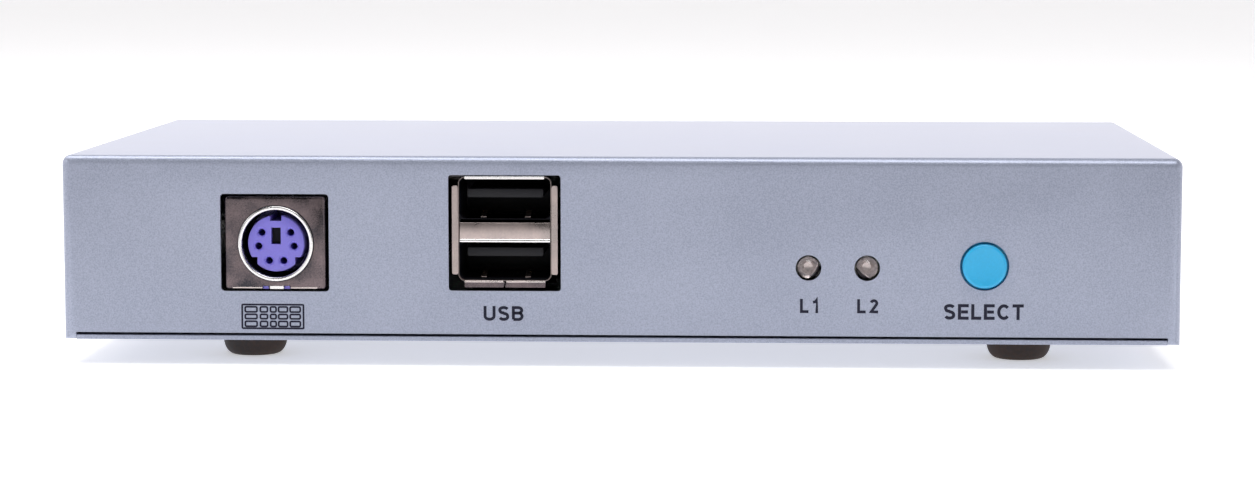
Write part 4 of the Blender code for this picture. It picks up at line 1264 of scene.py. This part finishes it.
def dress_cad_nodes():
    """Procedural finishes for the CAD nodes that are shown as they are, all inside the case."""
    by_start = {
        "main_board": "board",
        "board_": "steel",
        "control_chip": "chip",
        "usb_switch_chip": "chip",
        "memory_chip": "chip",
        "regulator": "chip",
        "sounder": "chip",
        "crystal": "steel",
        "capacitor": "steel",
        "switch_housing": "black",
        "switch_plunger": "cream",
        "switch_spring": "steel",
        "video_": "steel",  # the video sockets' brackets and switch chips
    }
    for name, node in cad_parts.items():
        for start, look in by_start.items():
            if name.startswith(start):
                node.data.materials.clear()
                node.data.materials.append(LOOKS[look])


# ---------------------------------------------------------------- surroundings


def floor():
    """A pale floor, far larger than the object so that its edge stays out of sight."""
    mesh = bmesh.new()
    bmesh.ops.create_grid(mesh, x_segments=8, y_segments=8, size=6.0)
    obj = as_object("floor", mesh)
    look = finish(
        "pale_floor", (0.92, 0.92, 0.925), (0.6, 0.7), spread=0.01, grain=4.0, mottle=60.0,
        Emission_Color=(1, 1, 1, 1), Emission_Strength=0.45,
    )
    obj.data.materials.append(look)


def studio_world():
    """Soft surroundings: a bright horizon behind the object, darker in front of it and overhead."""
    world = bpy.data.worlds.new("studio")
    bpy.context.scene.world = world
    world.use_nodes = True
    tree = world.node_tree
    background = tree.nodes["Background"]
    where = tree.nodes.new("ShaderNodeTexCoord")
    parts = tree.nodes.new("ShaderNodeSeparateXYZ")
    tree.links.new(where.outputs["Generated"], parts.inputs["Vector"])
    product = tree.nodes.new("ShaderNodeMath")
    product.operation = "MULTIPLY"
    from_front = ranged(tree, parts.outputs["Y"], 0.08, 1.72, (-0.6, 0.9))
    upward = ranged(tree, parts.outputs["Z"], 1.0, 0.2, (0.32, 0.8))
    tree.links.new(from_front, product.inputs[0])
    tree.links.new(upward, product.inputs[1])
    tree.links.new(product.outputs["Value"], background.inputs["Strength"])
    background.inputs["Color"].default_value = (1.0, 0.97, 0.99, 1)


def softbox(name, at, aim, size, power):
    data = bpy.data.lights.new(name, "AREA")
    data.shape, data.size, data.size_y = "RECTANGLE", *size
    data.energy = power
    obj = bpy.data.objects.new(name, data)
    obj.location = at
    obj.rotation_euler = (Vector(aim) - Vector(at)).to_track_quat("-Z", "Y").to_euler()
    bpy.context.scene.collection.objects.link(obj)


def lights():
    centre = (0, 0, 0.015)
    softbox("key", (-0.6, -0.38, 0.32), centre, (0.4, 0.3), 0.8)
    softbox("overhead", (-0.08, -0.1, 0.7), centre, (1.2, 0.28), 6.0)


def camera():
    """The front view: a little above the case and slightly to its right, looking down by six degrees."""
    pitch, yaw = math.radians(5.9), math.radians(2.63)
    distance = 0.4256
    target = CASE_ORIGIN + Vector((1.35, 0, HEIGHT / 2)) * MM
    back = Vector((math.sin(yaw) * math.cos(pitch), -math.cos(yaw) * math.cos(pitch), math.sin(pitch)))
    data = bpy.data.cameras.new("front_camera")
    data.sensor_width, data.lens, data.clip_start = 36.0, 89.2, 0.01
    obj = bpy.data.objects.new("front_camera", data)
    obj.location = target + back * distance
    obj.rotation_euler = (-back).to_track_quat("-Z", "Y").to_euler()
    bpy.context.scene.collection.objects.link(obj)
    bpy.context.scene.camera = obj


def main():
    top_cover()
    base_tray()
    feet()
    case_screws()
    keyboard_socket()
    usb_a_socket()
    lamps()
    select_button()
    video_sockets()
    usb_b_sockets()
    front_print()
    rear_print()
    dress_cad_nodes()
    floor()
    studio_world()
    lights()
    camera()
    bpy.context.scene.view_settings.view_transform = "Standard"


main()
